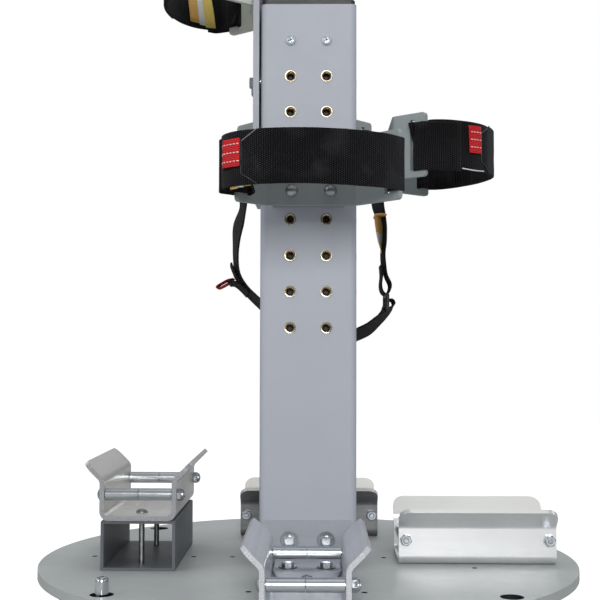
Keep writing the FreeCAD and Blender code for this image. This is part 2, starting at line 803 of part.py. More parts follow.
def make_cradle(side):
    """A bent channel with flared lips; its length runs along its own Y."""
    x, y, lift, angle = CRADLES[side]
    body = new_body("cradle_" + side)
    section = sketch(body, "XZ")
    half = "(cradle_width / 2)"
    inside = "(cradle_width / 2 - cradle_thickness)"
    slant = "(cradle_thickness * sqrt(0.5))"
    tip = f"({half} + cradle_flare)"
    tip_height = "(cradle_bend_height + cradle_flare)"
    inner_bend = "(cradle_bend_height + cradle_thickness * (sqrt(2) - 1))"
    right_half = [
        (half, "0"), (half, "cradle_bend_height"), (tip, tip_height),
        (f"{tip} - {slant}", f"{tip_height} + {slant}"), (inside, inner_bend),
        (inside, "cradle_thickness")]
    left_half = [(f"-({across})", height) for across, height in reversed(right_half)]
    polygon(section, right_half + left_half)
    pad(body, section, "cradle_length", midplane=True)
    width = value(half)
    gap = value(inside)

    def runs(middle, along, across, height):
        return near(abs(along.y), 1) and near(abs(middle.x), across) and near(middle.z, height)

    round_edges(body, "cradle_floor_bend", lambda m, a: runs(m, a, width, 0))
    round_edges(body, "cradle_floor_bend - cradle_thickness",
                lambda m, a: runs(m, a, gap, value("cradle_thickness")))
    round_edges(body, "cradle_flare_bend",
                lambda m, a: runs(m, a, width, value("cradle_bend_height")))
    round_edges(body, "cradle_flare_bend + cradle_thickness",
                lambda m, a: runs(m, a, gap, value(inner_bend)))
    length = value("cradle_length") / 2
    lip = value(tip) - value(slant) / 2
    round_edges(body, "cradle_corner",
                lambda m, a: near(abs(m.y), length) and near(abs(m.x), lip)
                and near(abs(a.z), math.sqrt(0.5), 0.01))
    axles = sketch(body, "YZ")
    for along in (AXLE_Y, f"-{AXLE_Y}"):
        circle(axles, along, "cradle_axle_height", "axle_radius + hole_clearance")
    pocket(body, axles)
    floor = sketch(body, "XY")
    for along in ("side_hole_offset", "-side_hole_offset"):
        circle(floor, "0", along, "clearance_hole")
    if side == "front":
        notch = f"front_cradle_reach - {FACE} - foot_bolt_reach"
        for across in ("-insert_pitch / 2", "insert_pitch / 2"):
            circle(floor, across, notch, "clearance_hole")
    pocket(body, floor)
    place(body, x, y, f"{DECK} + {lift}", angle=angle)
    keep(body, "cradle_" + side)


def cradle_point(side, x, y, z):
    """A point in a cradle's own frame, carried to where the cradle stands."""
    place_x, place_y, lift, angle = CRADLES[side]
    turned = Rotation(Z_AXIS, angle).multVec(V(x, y, z))
    return turned + V(value(place_x), value(place_y), value(DECK) + value(lift))


def make_roller(side, name, end):
    """Two plain sleeves that turn on one axle bolt."""
    bore = "(axle_radius + roller_fit)"
    sleeves = []
    for across in (-1, 1):
        tube = doc.addObject("Part::Cylinder", f"sleeve_{side}_{name}")
        bind(tube, Radius="roller_radius", Height="roller_length")
        core = doc.addObject("Part::Cylinder", f"sleeve_bore_{side}_{name}")
        bind(core, Radius=bore, Height="roller_length")
        sleeve = doc.addObject("Part::Cut", f"sleeve_cut_{side}_{name}")
        sleeve.Base = tube
        sleeve.Tool = core
        start = value("roller_gap / 2") if across > 0 else value("-roller_gap / 2 - roller_length")
        spot = cradle_point(side, start, end * value(AXLE_Y), value("cradle_axle_height"))
        axis = Rotation(Z_AXIS, CRADLES[side][3]).multVec(X_AXIS)
        sleeve.Placement = Placement(spot, facing(axis))
        sleeves.append(sleeve)
    pair = doc.addObject("Part::Compound", f"roller_{side}_{name}")
    pair.Links = sleeves
    keep(pair, f"roller_{side}_{name}")


ROLLER_NAMES = {"front": ("outer", "inner"), "right": ("inner", "outer"),
                "rear": ("right", "left"), "left": ("front", "rear")}
ROLLER_ENDS = {"front": (-1, 1), "right": (1, -1), "rear": (-1, 1), "left": (-1, 1)}


def make_cradles():
    bolts = []
    nuts = []
    floor_bolts = []
    for side in CRADLES:
        make_cradle(side)
        head_end = -1 if side in ("front", "left") else 1
        half = head_end * value("cradle_width") / 2
        across = Rotation(Z_AXIS, CRADLES[side][3]).multVec(X_AXIS) * head_end
        height = value("cradle_axle_height")
        axle = button_bolt(value("cradle_width") + value("nut_height") + 1.0, "axle_radius")
        for end in (-1, 1):
            along = end * value(AXLE_Y)
            bolts.append(put(axle, cradle_point(side, half, along, height), facing(across)))
            nuts.append(put(lock_nut("axle_radius"), cradle_point(side, -half, along, height),
                            facing(-across)))
            seat = cradle_point(side, 0, end * value("side_hole_offset"),
                                value("cradle_thickness"))
            if side != "left":
                short = button_bolt(value("cradle_thickness + plate_thickness") - 0.5)
                floor_bolts.append(put(short, seat))
    group("axle_bolts", bolts)
    group("axle_nuts", nuts)
    group("cradle_bolts", floor_bolts)
    long_bolt = button_bolt(value("cradle_thickness + riser_tube_height + plate_thickness") - 0.5)
    group("riser_bolts", [
        put(long_bolt, cradle_point("left", 0, end * value("side_hole_offset"),
                                    value("cradle_thickness"))) for end in (-1, 1)])
    for side in CRADLES:
        for name, end in zip(ROLLER_NAMES[side], ROLLER_ENDS[side]):
            make_roller(side, name, end)


def make_riser_tube():
    """A rectangular tube on the plate lifts the left cradle."""
    body = new_body("riser_tube")
    section = sketch(body, "XZ")
    half = "(riser_tube_width / 2)"
    rectangle(section, f"-{half}", half, "0", "riser_tube_height")
    pad(body, section, "riser_tube_length", midplane=True)
    wide = value(half)
    high = value("riser_tube_height")
    round_edges(body, "riser_tube_corner", lambda m, a: near(abs(a.y), 1)
                and near(abs(m.x), wide) and (near(m.z, 0) or near(m.z, high)))
    inner = sketch(body, "XZ")
    rectangle(inner, f"-{half} + riser_tube_wall", f"{half} - riser_tube_wall",
              "riser_tube_wall", "riser_tube_height - riser_tube_wall")
    pocket(body, inner)
    holes = sketch(body, "XY")
    for along in ("side_hole_offset", "-side_hole_offset"):
        circle(holes, "0", along, "clearance_hole")
    pocket(body, holes)
    place(body, "-left_cradle_reach", "0", DECK)
    keep(body, "riser_tube")


# ---------------------------------------------------------------- strap brackets

# Where the back face of each bracket stands: its distance out from the column's axis, its
# sideways shift and the height of its middle above the plate.
BRACKETS = {
    "front": (f"({FACE} + front_spacer_depth)", "front_bracket_shift", "front_bracket_height"),
    "right": (f"({FACE} + right_spacer_depth)", "0", "right_bracket_height"),
    "rear": (FACE, "0", "rear_bracket_height"),
    "left": (f"({FACE} + extension_gap + extension_thickness)", "0", "left_bracket_height"),
}
COS = "cos(wing_angle)"
SIN = "sin(wing_angle)"


def flange_seats(body, plane, at, rows):
    """Shallow rounds in a back face, where the flanges of the column's inserts sit."""
    seats = sketch(body, plane, at)
    for across in ("-insert_pitch / 2", "insert_pitch / 2"):
        for up in rows:
            circle(seats, across, up, "insert_flange + hole_clearance")
    pocket(body, seats, "insert_lip", reverse=True)


def make_strap_bracket(side):
    """A flat plate with two slotted wings bent outwards, the longer one on the right."""
    out, shift, height = BRACKETS[side]
    body = new_body("strap_bracket_" + side)
    section = sketch(body, "XY", "-bracket_height / 2")
    half = "(bracket_width / 2)"
    fold = "(bracket_width / 2 - bracket_thickness * tan(wing_angle / 2))"
    tip_x = f"({half} + long_wing * {COS})"
    tip_y = f"(long_wing * {SIN})"
    end_x = f"({half} + short_wing * {COS})"
    end_y = f"(short_wing * {SIN})"
    thick_x = f"bracket_thickness * {SIN}"
    thick_y = f"bracket_thickness * {COS}"
    polygon(section, [
        (half, "0"), (tip_x, f"-{tip_y}"),
        (f"{tip_x} - {thick_x}", f"-{tip_y} - {thick_y}"), (fold, "-bracket_thickness"),
        (f"-{fold}", "-bracket_thickness"),
        (f"-{end_x} + {thick_x}", f"-{end_y} - {thick_y}"),
        (f"-{end_x}", f"-{end_y}"), (f"-{half}", "0")])
    pad(body, section, "bracket_height")
    bend = value(half)
    crease = value(fold)
    round_edges(body, "bracket_bend + bracket_thickness",
                lambda m, a: near(abs(a.z), 1) and near(abs(m.x), bend) and near(m.y, 0))
    round_edges(body, "bracket_bend", lambda m, a: near(abs(a.z), 1)
                and near(abs(m.x), crease) and near(m.y, -value("bracket_thickness")))
    top = value("bracket_height") / 2
    tips = [value(tip_x) - value(thick_x) / 2, -value(end_x) + value(thick_x) / 2]
    round_edges(body, "wing_corner", lambda m, a: near(abs(m.z), top) and near(a.z, 0)
                and any(near(m.x, x) for x in tips))
    for sign, length in ((1, "long_wing"), (-1, "short_wing")):
        far = f"{sign} * ({length} - outer_bar)"
        close = f"{sign} * ({length} - outer_bar - slot_width)"
        slot = sketch(body, "XZ", "0", Y_AXIS * -sign, f"{sign} * {half}")
        rectangle(slot, close if sign > 0 else far, far if sign > 0 else close,
                  "-slot_height / 2", "slot_height / 2")
        cut = pocket(body, slot, "bracket_thickness * 4")
        cut.Midplane = True
    holes = sketch(body, "XZ")
    rows = ("0",) if side == "right" else ("-insert_pitch / 2", "insert_pitch / 2")
    for across in ("-insert_pitch / 2", "insert_pitch / 2"):
        for up in rows:
            circle(holes, across, up, "clearance_hole")
    pocket(body, holes)
    if side == "rear":
        flange_seats(body, "XZ", "0", rows)
    turn = SIDE_ANGLE[side]
    base = {"front": (shift, f"-{out}"), "right": (out, shift), "rear": (shift, out),
            "left": (f"-{out}", shift)}[side]
    place(body, base[0], base[1], f"{DECK} + {height}", angle=turn)
    keep(body, "strap_bracket_" + side)


def make_front_spacer():
    """A short piece of rectangular tube, standing upright between column and bracket."""
    out, shift, height = BRACKETS["front"]
    body = new_body("spacer_front")
    section = sketch(body, "XY", "-spacer_height / 2")
    far = f"(-{FACE} - front_spacer_depth)"
    rectangle(section, "-spacer_length / 2", "spacer_length / 2", far, f"(-{FACE})")
    pad(body, section, "spacer_height")
    inner = sketch(body, "XY", "-spacer_height / 2")
    rectangle(inner, "-spacer_length / 2 + spacer_wall", "spacer_length / 2 - spacer_wall",
              f"{far} + spacer_wall", f"(-{FACE}) - spacer_wall")
    pocket(body, inner, reverse=True)
    column_holes = sketch(body, "XZ", FACE)
    bracket_holes = sketch(body, "XZ", f"{FACE} + front_spacer_depth")
    for across in ("-insert_pitch / 2", "insert_pitch / 2"):
        circle(column_holes, across, "0", "clearance_hole")
        for up in ("-insert_pitch / 2", "insert_pitch / 2"):
            circle(bracket_holes, f"{shift} + {across}", up, "clearance_hole")
    pocket(body, column_holes, "front_spacer_depth / 2", reverse=True)
    pocket(body, bracket_holes, "front_spacer_depth / 2")
    flange_seats(body, "XZ", FACE, ("0",))
    place(body, z=f"{DECK} + {height}")
    keep(body, "spacer_front")


def make_right_spacer():
    """A length of square tube that lies flat, with two bolts through its middle."""
    out, shift, height = BRACKETS["right"]
    body = new_body("spacer_right")
    section = sketch(body, "YZ")
    face = f"(-{FACE})"
    half = "(right_spacer_depth / 2)"
    rectangle(section, f"{face} - right_spacer_depth", face, "-" + half, half)
    pad(body, section, "spacer_length", midplane=True)
    inner = sketch(body, "YZ")
    rectangle(inner, f"{face} - right_spacer_depth + spacer_wall", f"{face} - spacer_wall",
              f"-{half} + spacer_wall", f"{half} - spacer_wall")
    pocket(body, inner)
    holes = sketch(body, "XZ", FACE)
    near_holes = sketch(body, "XZ", f"{FACE} + right_spacer_depth")
    for across in ("-insert_pitch / 2", "insert_pitch / 2"):
        circle(holes, across, "0", "clearance_hole")
        circle(near_holes, across, "0", "clearance_hole")
    pocket(body, holes, half, reverse=True)
    pocket(body, near_holes, half)
    flange_seats(body, "XZ", FACE, ("0",))
    place(body, z=f"{DECK} + {height}", angle=SIDE_ANGLE["right"])
    keep(body, "spacer_right")


def make_extension_plate():
    """A flat plate on the left side lifts that bracket above the column."""
    body = new_body("extension_plate")
    outline = sketch(body, "YZ", f"-{FACE} - extension_gap - extension_thickness")
    rectangle(outline, f"-{FACE}", FACE, f"{DECK} + extension_bottom", f"{DECK} + extension_top")
    pad(body, outline, "extension_thickness")
    half = value(FACE)
    round_edges(body, "extension_corner", lambda m, a: near(abs(a.x), 1)
                and near(abs(m.y), half))
    holes = sketch(body, "YZ", f"-{FACE} - extension_gap - extension_thickness")
    for across in ("-insert_pitch / 2", "insert_pitch / 2"):
        for row in (4, 7):
            circle(holes, across, f"{DECK} + insert_first + insert_pitch * {row}",
                   "clearance_hole")
        for up in ("-insert_pitch / 2", "insert_pitch / 2"):
            circle(holes, across, f"{DECK} + left_bracket_height + {up}", "clearance_hole")
    pocket(body, holes)
    keep(body, "extension_plate")


def side_bolt(side, bolt, across, out, height):
    """One bolt that points inwards from a side, its head seated at the distance out."""
    spot = on_side(side, across, -out, value(DECK) + height)
    return put(bolt, spot, facing(OUTWARD[side]))


def make_bracket_bolts():
    bolts = []
    nuts = []
    half = value("insert_pitch") / 2
    plate = value("bracket_thickness")
    wall = value("spacer_wall")
    spacer_bolt = button_bolt(wall + 9.0)
    clamp_bolt = button_bolt(plate + wall + 8.5)
    out, shift, height = (value(item) for item in BRACKETS["front"])
    for across in (-half, half):
        bolts.append(side_bolt("front", spacer_bolt, across, value(FACE) + wall, height))
        for up in (-half, half):
            bolts.append(side_bolt("front", clamp_bolt, shift + across, out + plate,
                                   height + up))
            spot = on_side("front", shift + across, -out + wall, value(DECK) + height + up)
            nuts.append(put(lock_nut(), spot, facing(-OUTWARD["front"])))
    out, shift, height = (value(item) for item in BRACKETS["right"])
    through_bolt = button_bolt(plate + value("right_spacer_depth") + 9.0)
    for across in (-half, half):
        bolts.append(side_bolt("right", through_bolt, across, out + plate, height))
    out, shift, height = (value(item) for item in BRACKETS["rear"])
    rear_bolt = button_bolt(plate + 9.0)
    for across in (-half, half):
        for up in (-half, half):
            bolts.append(side_bolt("rear", rear_bolt, across, out + plate, height + up))
    out, shift, height = (value(item) for item in BRACKETS["left"])
    left_bolt = button_bolt(plate + value("extension_thickness") + 8.5)
    for across in (-half, half):
        for up in (-half, half):
            bolts.append(side_bolt("left", left_bolt, across, out + plate, height + up))
            seat = on_side("left", across, -out + value("extension_thickness"),
                           value(DECK) + height + up)
            nuts.append(put(lock_nut(), seat, facing(-OUTWARD["left"])))
    group("bracket_bolts", bolts)
    group("bracket_nuts", nuts)
    gap = value("extension_gap")
    shim = Part.makeCylinder(value("washer_radius"), gap).cut(
        Part.makeCylinder(value("insert_flange + hole_clearance"), gap))
    rows = [value("insert_first") + value("insert_pitch") * row for row in (4, 7)]
    group("extension_shims", [side_bolt("left", shim, across, value(FACE), height)
                              for across in (-half, half) for height in rows])
    seat = value("washer_thickness")
    plate_bolt = hex_bolt(seat + value("extension_thickness + extension_gap") + 9.0)
    group("extension_bolts", [
        side_bolt("left", piece, across, out + lift, height)
        for piece, lift in ((plate_bolt, seat), (washer(), 0.0))
        for across in (-half, half) for height in rows])


# ---------------------------------------------------------------- straps

def direction(start, end):
    return (end - start).normalize()


def left_of(unit):
    return V(-unit.y, unit.x, 0)


def band_edge(points, offset):
    """Straight runs joined by tangent arcs through the points, moved sideways by offset."""
    edges = []
    position = points[0] + left_of(direction(points[0], points[1])) * offset
    for before, corner, after in zip(points, points[1:], points[2:]):
        into = direction(before, corner)
        away = direction(corner, after)
        turn = into.getAngle(away)
        shorter = min((corner - before).Length, (after - corner).Length)
        cut = 0.45 * shorter
        radius = cut / math.tan(turn / 2)
        start = corner - into * cut
        end = corner + away * cut
        inward = (away - into).normalize()
        centre = corner + inward * (radius / math.cos(turn / 2))
        middle = centre - inward * radius
        first = start + left_of(into) * offset
        last = end + left_of(away) * offset
        outwards = (middle - centre).normalize()
        leaning = 1 if outwards.dot(left_of(into)) > 0 else -1
        half_way = middle + outwards * (leaning * offset)
        edges.append(Part.LineSegment(position, first).toShape())
        edges.append(Part.Arc(first, half_way, last).toShape())
        position = last
    finish = points[-1] + left_of(direction(points[-2], points[-1])) * offset
    edges.append(Part.LineSegment(position, finish).toShape())
    return edges


def band(points, inner, outer, low, high):
    """A flat band that stands on edge and follows the points in plan."""
    near_side = band_edge(points, inner)
    far_side = band_edge(points, outer)
    caps = [Part.LineSegment(a.Vertexes[0].Point, b.Vertexes[0].Point).toShape()
            for a, b in ((near_side[0], far_side[0]),)]
    caps += [Part.LineSegment(near_side[-1].Vertexes[-1].Point,
                              far_side[-1].Vertexes[-1].Point).toShape()]
    wire = Part.Wire(Part.__sortEdges__(near_side + far_side + caps))
    face = Part.Face(wire)
    face.translate(V(0, 0, low))
    return face.extrude(V(0, 0, high - low))


def wing_frame(sign):
    """The wing's own directions in plan: outwards along it, and its normal to the inside."""
    angle = math.radians(value("wing_angle"))
    along = V(sign * math.cos(angle), -math.sin(angle), 0)
    inside = V(-sign * math.sin(angle), -math.cos(angle), 0)
    return along, inside


def bar_loop(sign):
    """The strap's sewn end: a flat loop around the wing's outer bar."""
    along, inside = wing_frame(sign)
    length = value("long_wing" if sign > 0 else "short_wing")
    root = V(sign * value("bracket_width") / 2, 0, 0)
    gap = value("strap_clearance")
    wide = value("outer_bar") + 2 * gap
    deep = value("bracket_thickness") + 2 * gap
    layer = value("strap_layer")
    centre = root + along * (length - value("outer_bar") / 2)
    centre += inside * (value("bracket_thickness") / 2)
    height = value("strap_width")

    def block(width, depth):
        shape = Part.makeBox(width, depth, height, V(-width / 2, -depth / 2, -height / 2))
        upright = [edge for edge in shape.Edges if near(edge.Vertexes[0].X, edge.Vertexes[1].X)
                   and near(edge.Vertexes[0].Y, edge.Vertexes[1].Y)]
        return shape.makeFillet(min(width, depth) * 0.4, upright)

    loop = block(wide + 2 * layer, deep + 2 * layer)
    loop = loop.cut(Part.makeBox(wide, deep, height, V(-wide / 2, -deep / 2, -height / 2)))
    turn = math.degrees(math.atan2(along.y, along.x))
    loop.Placement = Placement(centre, Rotation(Z_AXIS, turn))
    return loop


def loop_exit(sign):
    """Where the strap leaves its end loop, on the outer face of the bar."""
    along, inside = wing_frame(sign)
    length = value("long_wing" if sign > 0 else "short_wing")
    root = V(sign * value("bracket_width") / 2, 0, 0)
    out = value("strap_exit")
    return root + along * (length + out) + inside * (value("bracket_thickness") * 0.5)


# The middle line of each strap in plan, from the short wing round to the long one, as
# distances sideways and outwards from the middle of its bracket's back face.
STRAP_ROUTES = {
    "front": [(-84, -48), (-80, -66), (-66, -82), (-40, -93), (-4, -96), (34, -87), (66, -69)],
    "right": [(-72, -60), (-58, -85), (-38, -101), (-8, -111), (20, -107), (44, -97.5),
              (68, -82), (84, -63)],
    "left": [(-80, -51), (-66, -77), (-38, -94), (0, -99), (40, -94), (71, -81), (87, -63)],
}
TABS = {"front": (-83, -63), "right": (-68, -54)}


def strap_points(side):
    route = [V(x, y, 0) for x, y in STRAP_ROUTES[side]]
    return [loop_exit(-1)] + route + [loop_exit(1)]


def stand_on(side, shape):
    """Moves a shape from a bracket's own frame to where the bracket stands."""
    out, shift, height = (value(item) for item in BRACKETS[side])
    spot = on_side(side, shift, -out, value(DECK) + height)
    shape.Placement = Placement(spot, Rotation(Z_AXIS, SIDE_ANGLE[side])).multiply(shape.Placement)
    return shape


def make_strap(side):
    half = value("strap_thickness") / 2
    tall = value("strap_width") / 2
    main = band(strap_points(side), -half, half, -tall, tall)
    whole = main.fuse([bar_loop(-1), bar_loop(1)]).removeSplitter()
    holder = doc.addObject("Part::Feature", "strap_" + side)
    holder.Shape = Part.makeCompound([stand_on(side, whole)])
    keep(holder, "strap_" + side)


def tab_piece(side):
    """A grip tab sewn on the outer face of a strap."""
    half = value("strap_thickness") / 2
    gap = 0.1
    thick = value("tab_thickness")
    tall = value("tab_width") / 2
    low, high = TABS[side]
    skin = band(strap_points(side), -half - gap - thick, -half - gap, -tall, tall)
    window = Part.makeBox(high - low, 200, 2 * tall, V(low, -200, -tall))
    return stand_on(side, skin.common(window))


# The rear strap hangs slack behind the column.  Its middle line as seen from the front side:
# distance sideways and height from the middle of the rear bracket.
REAR_LONG_SIDE = [(-93, -5.55), (-93, -27.55), (-88, -49.55), (-81, -72.55),
                  (-86, -112.55), (-86, -145.55), (-66, -173.55), (-28, -207.55),
                  (10, -221.55), (48, -214.55), (80, -195.55), (92, -184.55)]
REAR_SHORT_SIDE = [(84, -5.55), (80, -37.55), (84, -72.55),
                   (88, -112.55), (92, -145.55), (92, -168.55)]
REAR_RING = (92.0, -176.55)
REAR_HANG = 117.0
REAR_MIDDLE = f"({DECK} + rear_bracket_height)"


def hanging_band(route):
    """A slack band: its line lies in the XZ plane and its width runs along Y."""
    half = value("strap_layer") * 0.75
    tall = value("strap_width") / 2
    flat = band([V(x, z, 0) for x, z in route], -half, half, -tall, tall)
    flat.Placement = Placement(V(0, REAR_HANG, value(REAR_MIDDLE)), Rotation(X_AXIS, 90))
    return flat


def ring_eye(height):
    """The sewn eye that holds one bar of the ring."""
    bar = value("ring_bar")
    eye = Part.makeCylinder(bar + 0.3 + value("strap_layer"), value("strap_width"))
    eye = eye.cut(Part.makeCylinder(bar + 0.3, value("strap_width")))
    eye.Placement = Placement(
        V(REAR_RING[0], REAR_HANG + value("strap_width") / 2, value(REAR_MIDDLE) + height),
        Rotation(X_AXIS, 90))
    return eye


def make_rear_strap():
    bar_gap = value("ring_height") / 2 - value("ring_bar")
    low = REAR_RING[1] - bar_gap
    high = REAR_RING[1] + bar_gap
    bore = value("ring_bar") + 0.3
    pieces = []
    for sign, route, height in ((1, REAR_LONG_SIDE, low), (-1, REAR_SHORT_SIDE, high)):
        eye = ring_eye(height)
        core = Part.makeCylinder(bore, value("strap_width"))
        core.Placement = eye.Placement
        hang = hanging_band(route[:-1] + [(REAR_RING[0], height)])
        loop = stand_on("rear", bar_loop(sign))
        start = stand_on("rear", Part.Vertex(loop_exit(sign))).Point
        top = V(route[0][0], REAR_HANG, start.z)
        stub = band([V(start.x, start.y, 0), V(top.x, top.y - 12, 0), V(top.x, top.y + 8, 0)],
                    -1.7, 1.7, start.z - value("strap_width") / 2,
                    start.z + value("strap_width") / 2)
        pieces.append(hang.cut(core).fuse([eye, loop, stub]).removeSplitter())
    group("strap_rear", pieces)


def make_strap_ring():
    """A rectangular wire ring in the rear strap, standing in the YZ plane."""
    bar = value("ring_bar")
    long_half = value("ring_length") / 2 - bar
    tall_half = value("ring_height") / 2 - bar
    corners = [V(0, -long_half, -tall_half), V(0, long_half, -tall_half),
               V(0, long_half, tall_half), V(0, -long_half, tall_half)]
    pieces = []
    for start, end in zip(corners, corners[1:] + corners[:1]):
        axis = end - start
        pieces.append(Part.makeCylinder(bar, axis.Length, start, axis))
        pieces.append(Part.makeSphere(bar, start))
    ring = pieces[0].fuse(pieces[1:]).removeSplitter()
    ring.translate(V(REAR_RING[0], REAR_HANG, value(REAR_MIDDLE) + REAR_RING[1]))
    group("strap_ring", [ring])


def make_strap_trim():
    group("strap_tabs", [tab_piece(side) for side in TABS])


# ---------------------------------------------------------------- the whole tower

def make_tower():
    make_floor_plate()
    make_bearing()
    make_index_pin()
    make_turntable_plate()
    make_column()
    make_column_cap()
    make_cap_screws()
    make_inserts()
    make_feet()
    make_riser_tube()
    make_cradles()
    for side in BRACKETS:
        make_strap_bracket(side)
    make_front_spacer()
    make_right_spacer()
    make_extension_plate()
    make_bracket_bolts()
    for side in STRAP_ROUTES:
        make_strap(side)
    make_rear_strap()
    make_strap_ring()
    make_strap_trim()


def check_and_write():
    doc.recompute()
    for item in doc.Objects:
        if "Invalid" in item.State or "Error" in item.State:
            raise RuntimeError(f"{item.Label} failed to build: {item.State}")
    for item in parts:
        if item.Shape.isNull() or not item.Shape.isValid():
            raise RuntimeError(f"{item.Label} has no valid shape")
    os.makedirs("parts", exist_ok=True)
    for item in parts:
        item.Shape.exportStep(f"parts/{item.Label}.step")


make_tower()
check_and_write()
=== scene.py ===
import math

import bpy
from mathutils import Matrix, Vector, noise


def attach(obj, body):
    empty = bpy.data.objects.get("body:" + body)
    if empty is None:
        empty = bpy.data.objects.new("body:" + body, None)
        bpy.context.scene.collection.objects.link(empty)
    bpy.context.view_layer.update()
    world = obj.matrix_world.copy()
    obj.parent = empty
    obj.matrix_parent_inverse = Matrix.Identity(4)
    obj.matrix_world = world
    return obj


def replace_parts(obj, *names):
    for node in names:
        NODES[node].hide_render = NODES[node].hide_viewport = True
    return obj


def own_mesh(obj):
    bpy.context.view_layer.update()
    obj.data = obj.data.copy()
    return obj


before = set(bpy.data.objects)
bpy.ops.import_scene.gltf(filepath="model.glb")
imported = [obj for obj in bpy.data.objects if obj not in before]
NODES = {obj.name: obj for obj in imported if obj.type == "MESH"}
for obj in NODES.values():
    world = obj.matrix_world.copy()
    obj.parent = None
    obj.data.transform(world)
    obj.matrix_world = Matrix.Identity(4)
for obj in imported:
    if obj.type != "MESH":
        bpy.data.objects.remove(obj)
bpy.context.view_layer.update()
MM = 0.001
DECK = 60.325  # height of the turntable plate's upper face, in millimetres
TURNTABLE = "turntable"
UP = Vector((0, 0, 1))
RIM_BAND = 0.01
# The plate's hole walls inside this radius, short of its outer rim, get painted shade.
RIM = max(v.co.x for v in NODES["turntable_plate"].data.vertices) - RIM_BAND
SHOWN_IN_METAL = 0.18  # the share of the white background that metal and glass show


# ---------------------------------------------------------------- node helpers

def linear(r, g, b):
    """An sRGB colour of 0 to 255 as linear values."""
    out = []
    for c in (r, g, b):
        c /= 255.0
        out.append(c / 12.92 if c <= 0.04045 else ((c + 0.055) / 1.055) ** 2.4)
    return (*out, 1.0)


def shade(colour, factor):
    """A linear colour made darker or lighter."""
    return tuple(min(c * factor, 1) for c in colour[:3]) + (1,)


class Tree:
    """A node tree, filled in short calls."""

    def __init__(self, tree):
        self.tree = tree
        tree.nodes.clear()

    def add(self, kind, inputs=None, **settings):
        n = self.tree.nodes.new(kind)
        for key, item in settings.items():
            setattr(n, key, item)
        for key, item in (inputs or {}).items():
            self.feed(n.inputs[key], item)
        return n

    def feed(self, socket, item):
        if isinstance(item, bpy.types.NodeSocket):
            self.tree.links.new(item, socket)
        elif isinstance(item, bpy.types.Node):
            self.tree.links.new(item.outputs[0], socket)
        else:
            socket.default_value = item

    def math(self, operation, a, b=0.0, c=0.0):
        n = self.add("ShaderNodeMath", operation=operation)
        for socket, item in zip(n.inputs, (a, b, c)):
            self.feed(socket, item)
        return n.outputs[0]

    def ramp(self, factor, stops):
        """A colour ramp; each stop is a position and a grey or a colour."""
        n = self.add("ShaderNodeValToRGB", {0: factor})
        marks = n.color_ramp.elements
        while len(marks) < len(stops):
            marks.new(0.5)
        for mark, (position, colour) in zip(marks, stops):
            if isinstance(colour, (int, float)):
                colour = (colour,) * 3
            mark.position = position
            mark.color = colour if len(colour) == 4 else (*colour, 1)
        return n.outputs[0]

    def mix(self, factor, a, b, blend="MIX"):
        n = self.add("ShaderNodeMix", data_type="RGBA", blend_type=blend)
        for i, item in ((0, factor), (6, a), (7, b)):
            self.feed(n.inputs[i], item)
        return n.outputs[2]

    def overlay(self, share, body, pattern, *stops):
        return self.mix(share, body, self.ramp(pattern, stops), "OVERLAY")

    def spread(self, item, low, high, start=0.0, stop=1.0):
        """start to stop of the item becomes low to high."""
        return self.add("ShaderNodeMapRange", {"Value": item, "From Min": start, "From Max": stop,
                                               "To Min": low, "To Max": high})

    def noise(self, scale, detail=2.0, stretch=(1, 1, 1), rough=0.5):
        where = self.add("ShaderNodeTexCoord").outputs["Object"]
        mapped = self.add("ShaderNodeMapping", {"Vector": where, "Scale": stretch})
        n = self.add("ShaderNodeTexNoise", {"Vector": mapped, "Scale": scale,
                                            "Detail": detail, "Roughness": rough})
        return n.outputs[0]

    def bump(self, height, strength, distance, normal=None):
        n = self.add("ShaderNodeBump", {"Height": height, "Strength": strength,
                                        "Distance": distance})
        if normal is not None:
            self.feed(n.inputs["Normal"], normal)
        return n.outputs[0]

    def edges(self, low, high):
        """0 to 1 where the pointiness goes from low to high."""
        point = self.add("ShaderNodeNewGeometry").outputs["Pointiness"]
        return self.spread(point, 0.0, 1.0, low, high)

    def seen(self):
        """How much a ray sees of the white background: all for the camera, a share in metal."""
        path = self.add("ShaderNodeLightPath").outputs
        total = path["Is Camera Ray"]
        for ray in ("Is Glossy Ray", "Is Transmission Ray"):
            total = self.math("MULTIPLY_ADD", path[ray], SHOWN_IN_METAL, total)
        return total


class Surface(Tree):
    """A material with one Principled shader."""

    def __init__(self, name):
        self.material = bpy.data.materials.new(name)
        self.material.use_nodes = True
        super().__init__(self.material.node_tree)
        self.bsdf = self.add("ShaderNodeBsdfPrincipled")
        self.add("ShaderNodeOutputMaterial", {"Surface": self.bsdf})

    def set(self, **inputs):
        for key, item in inputs.items():
            self.feed(self.bsdf.inputs[key.replace("_", " ")], item)


# ---------------------------------------------------------------- finishes

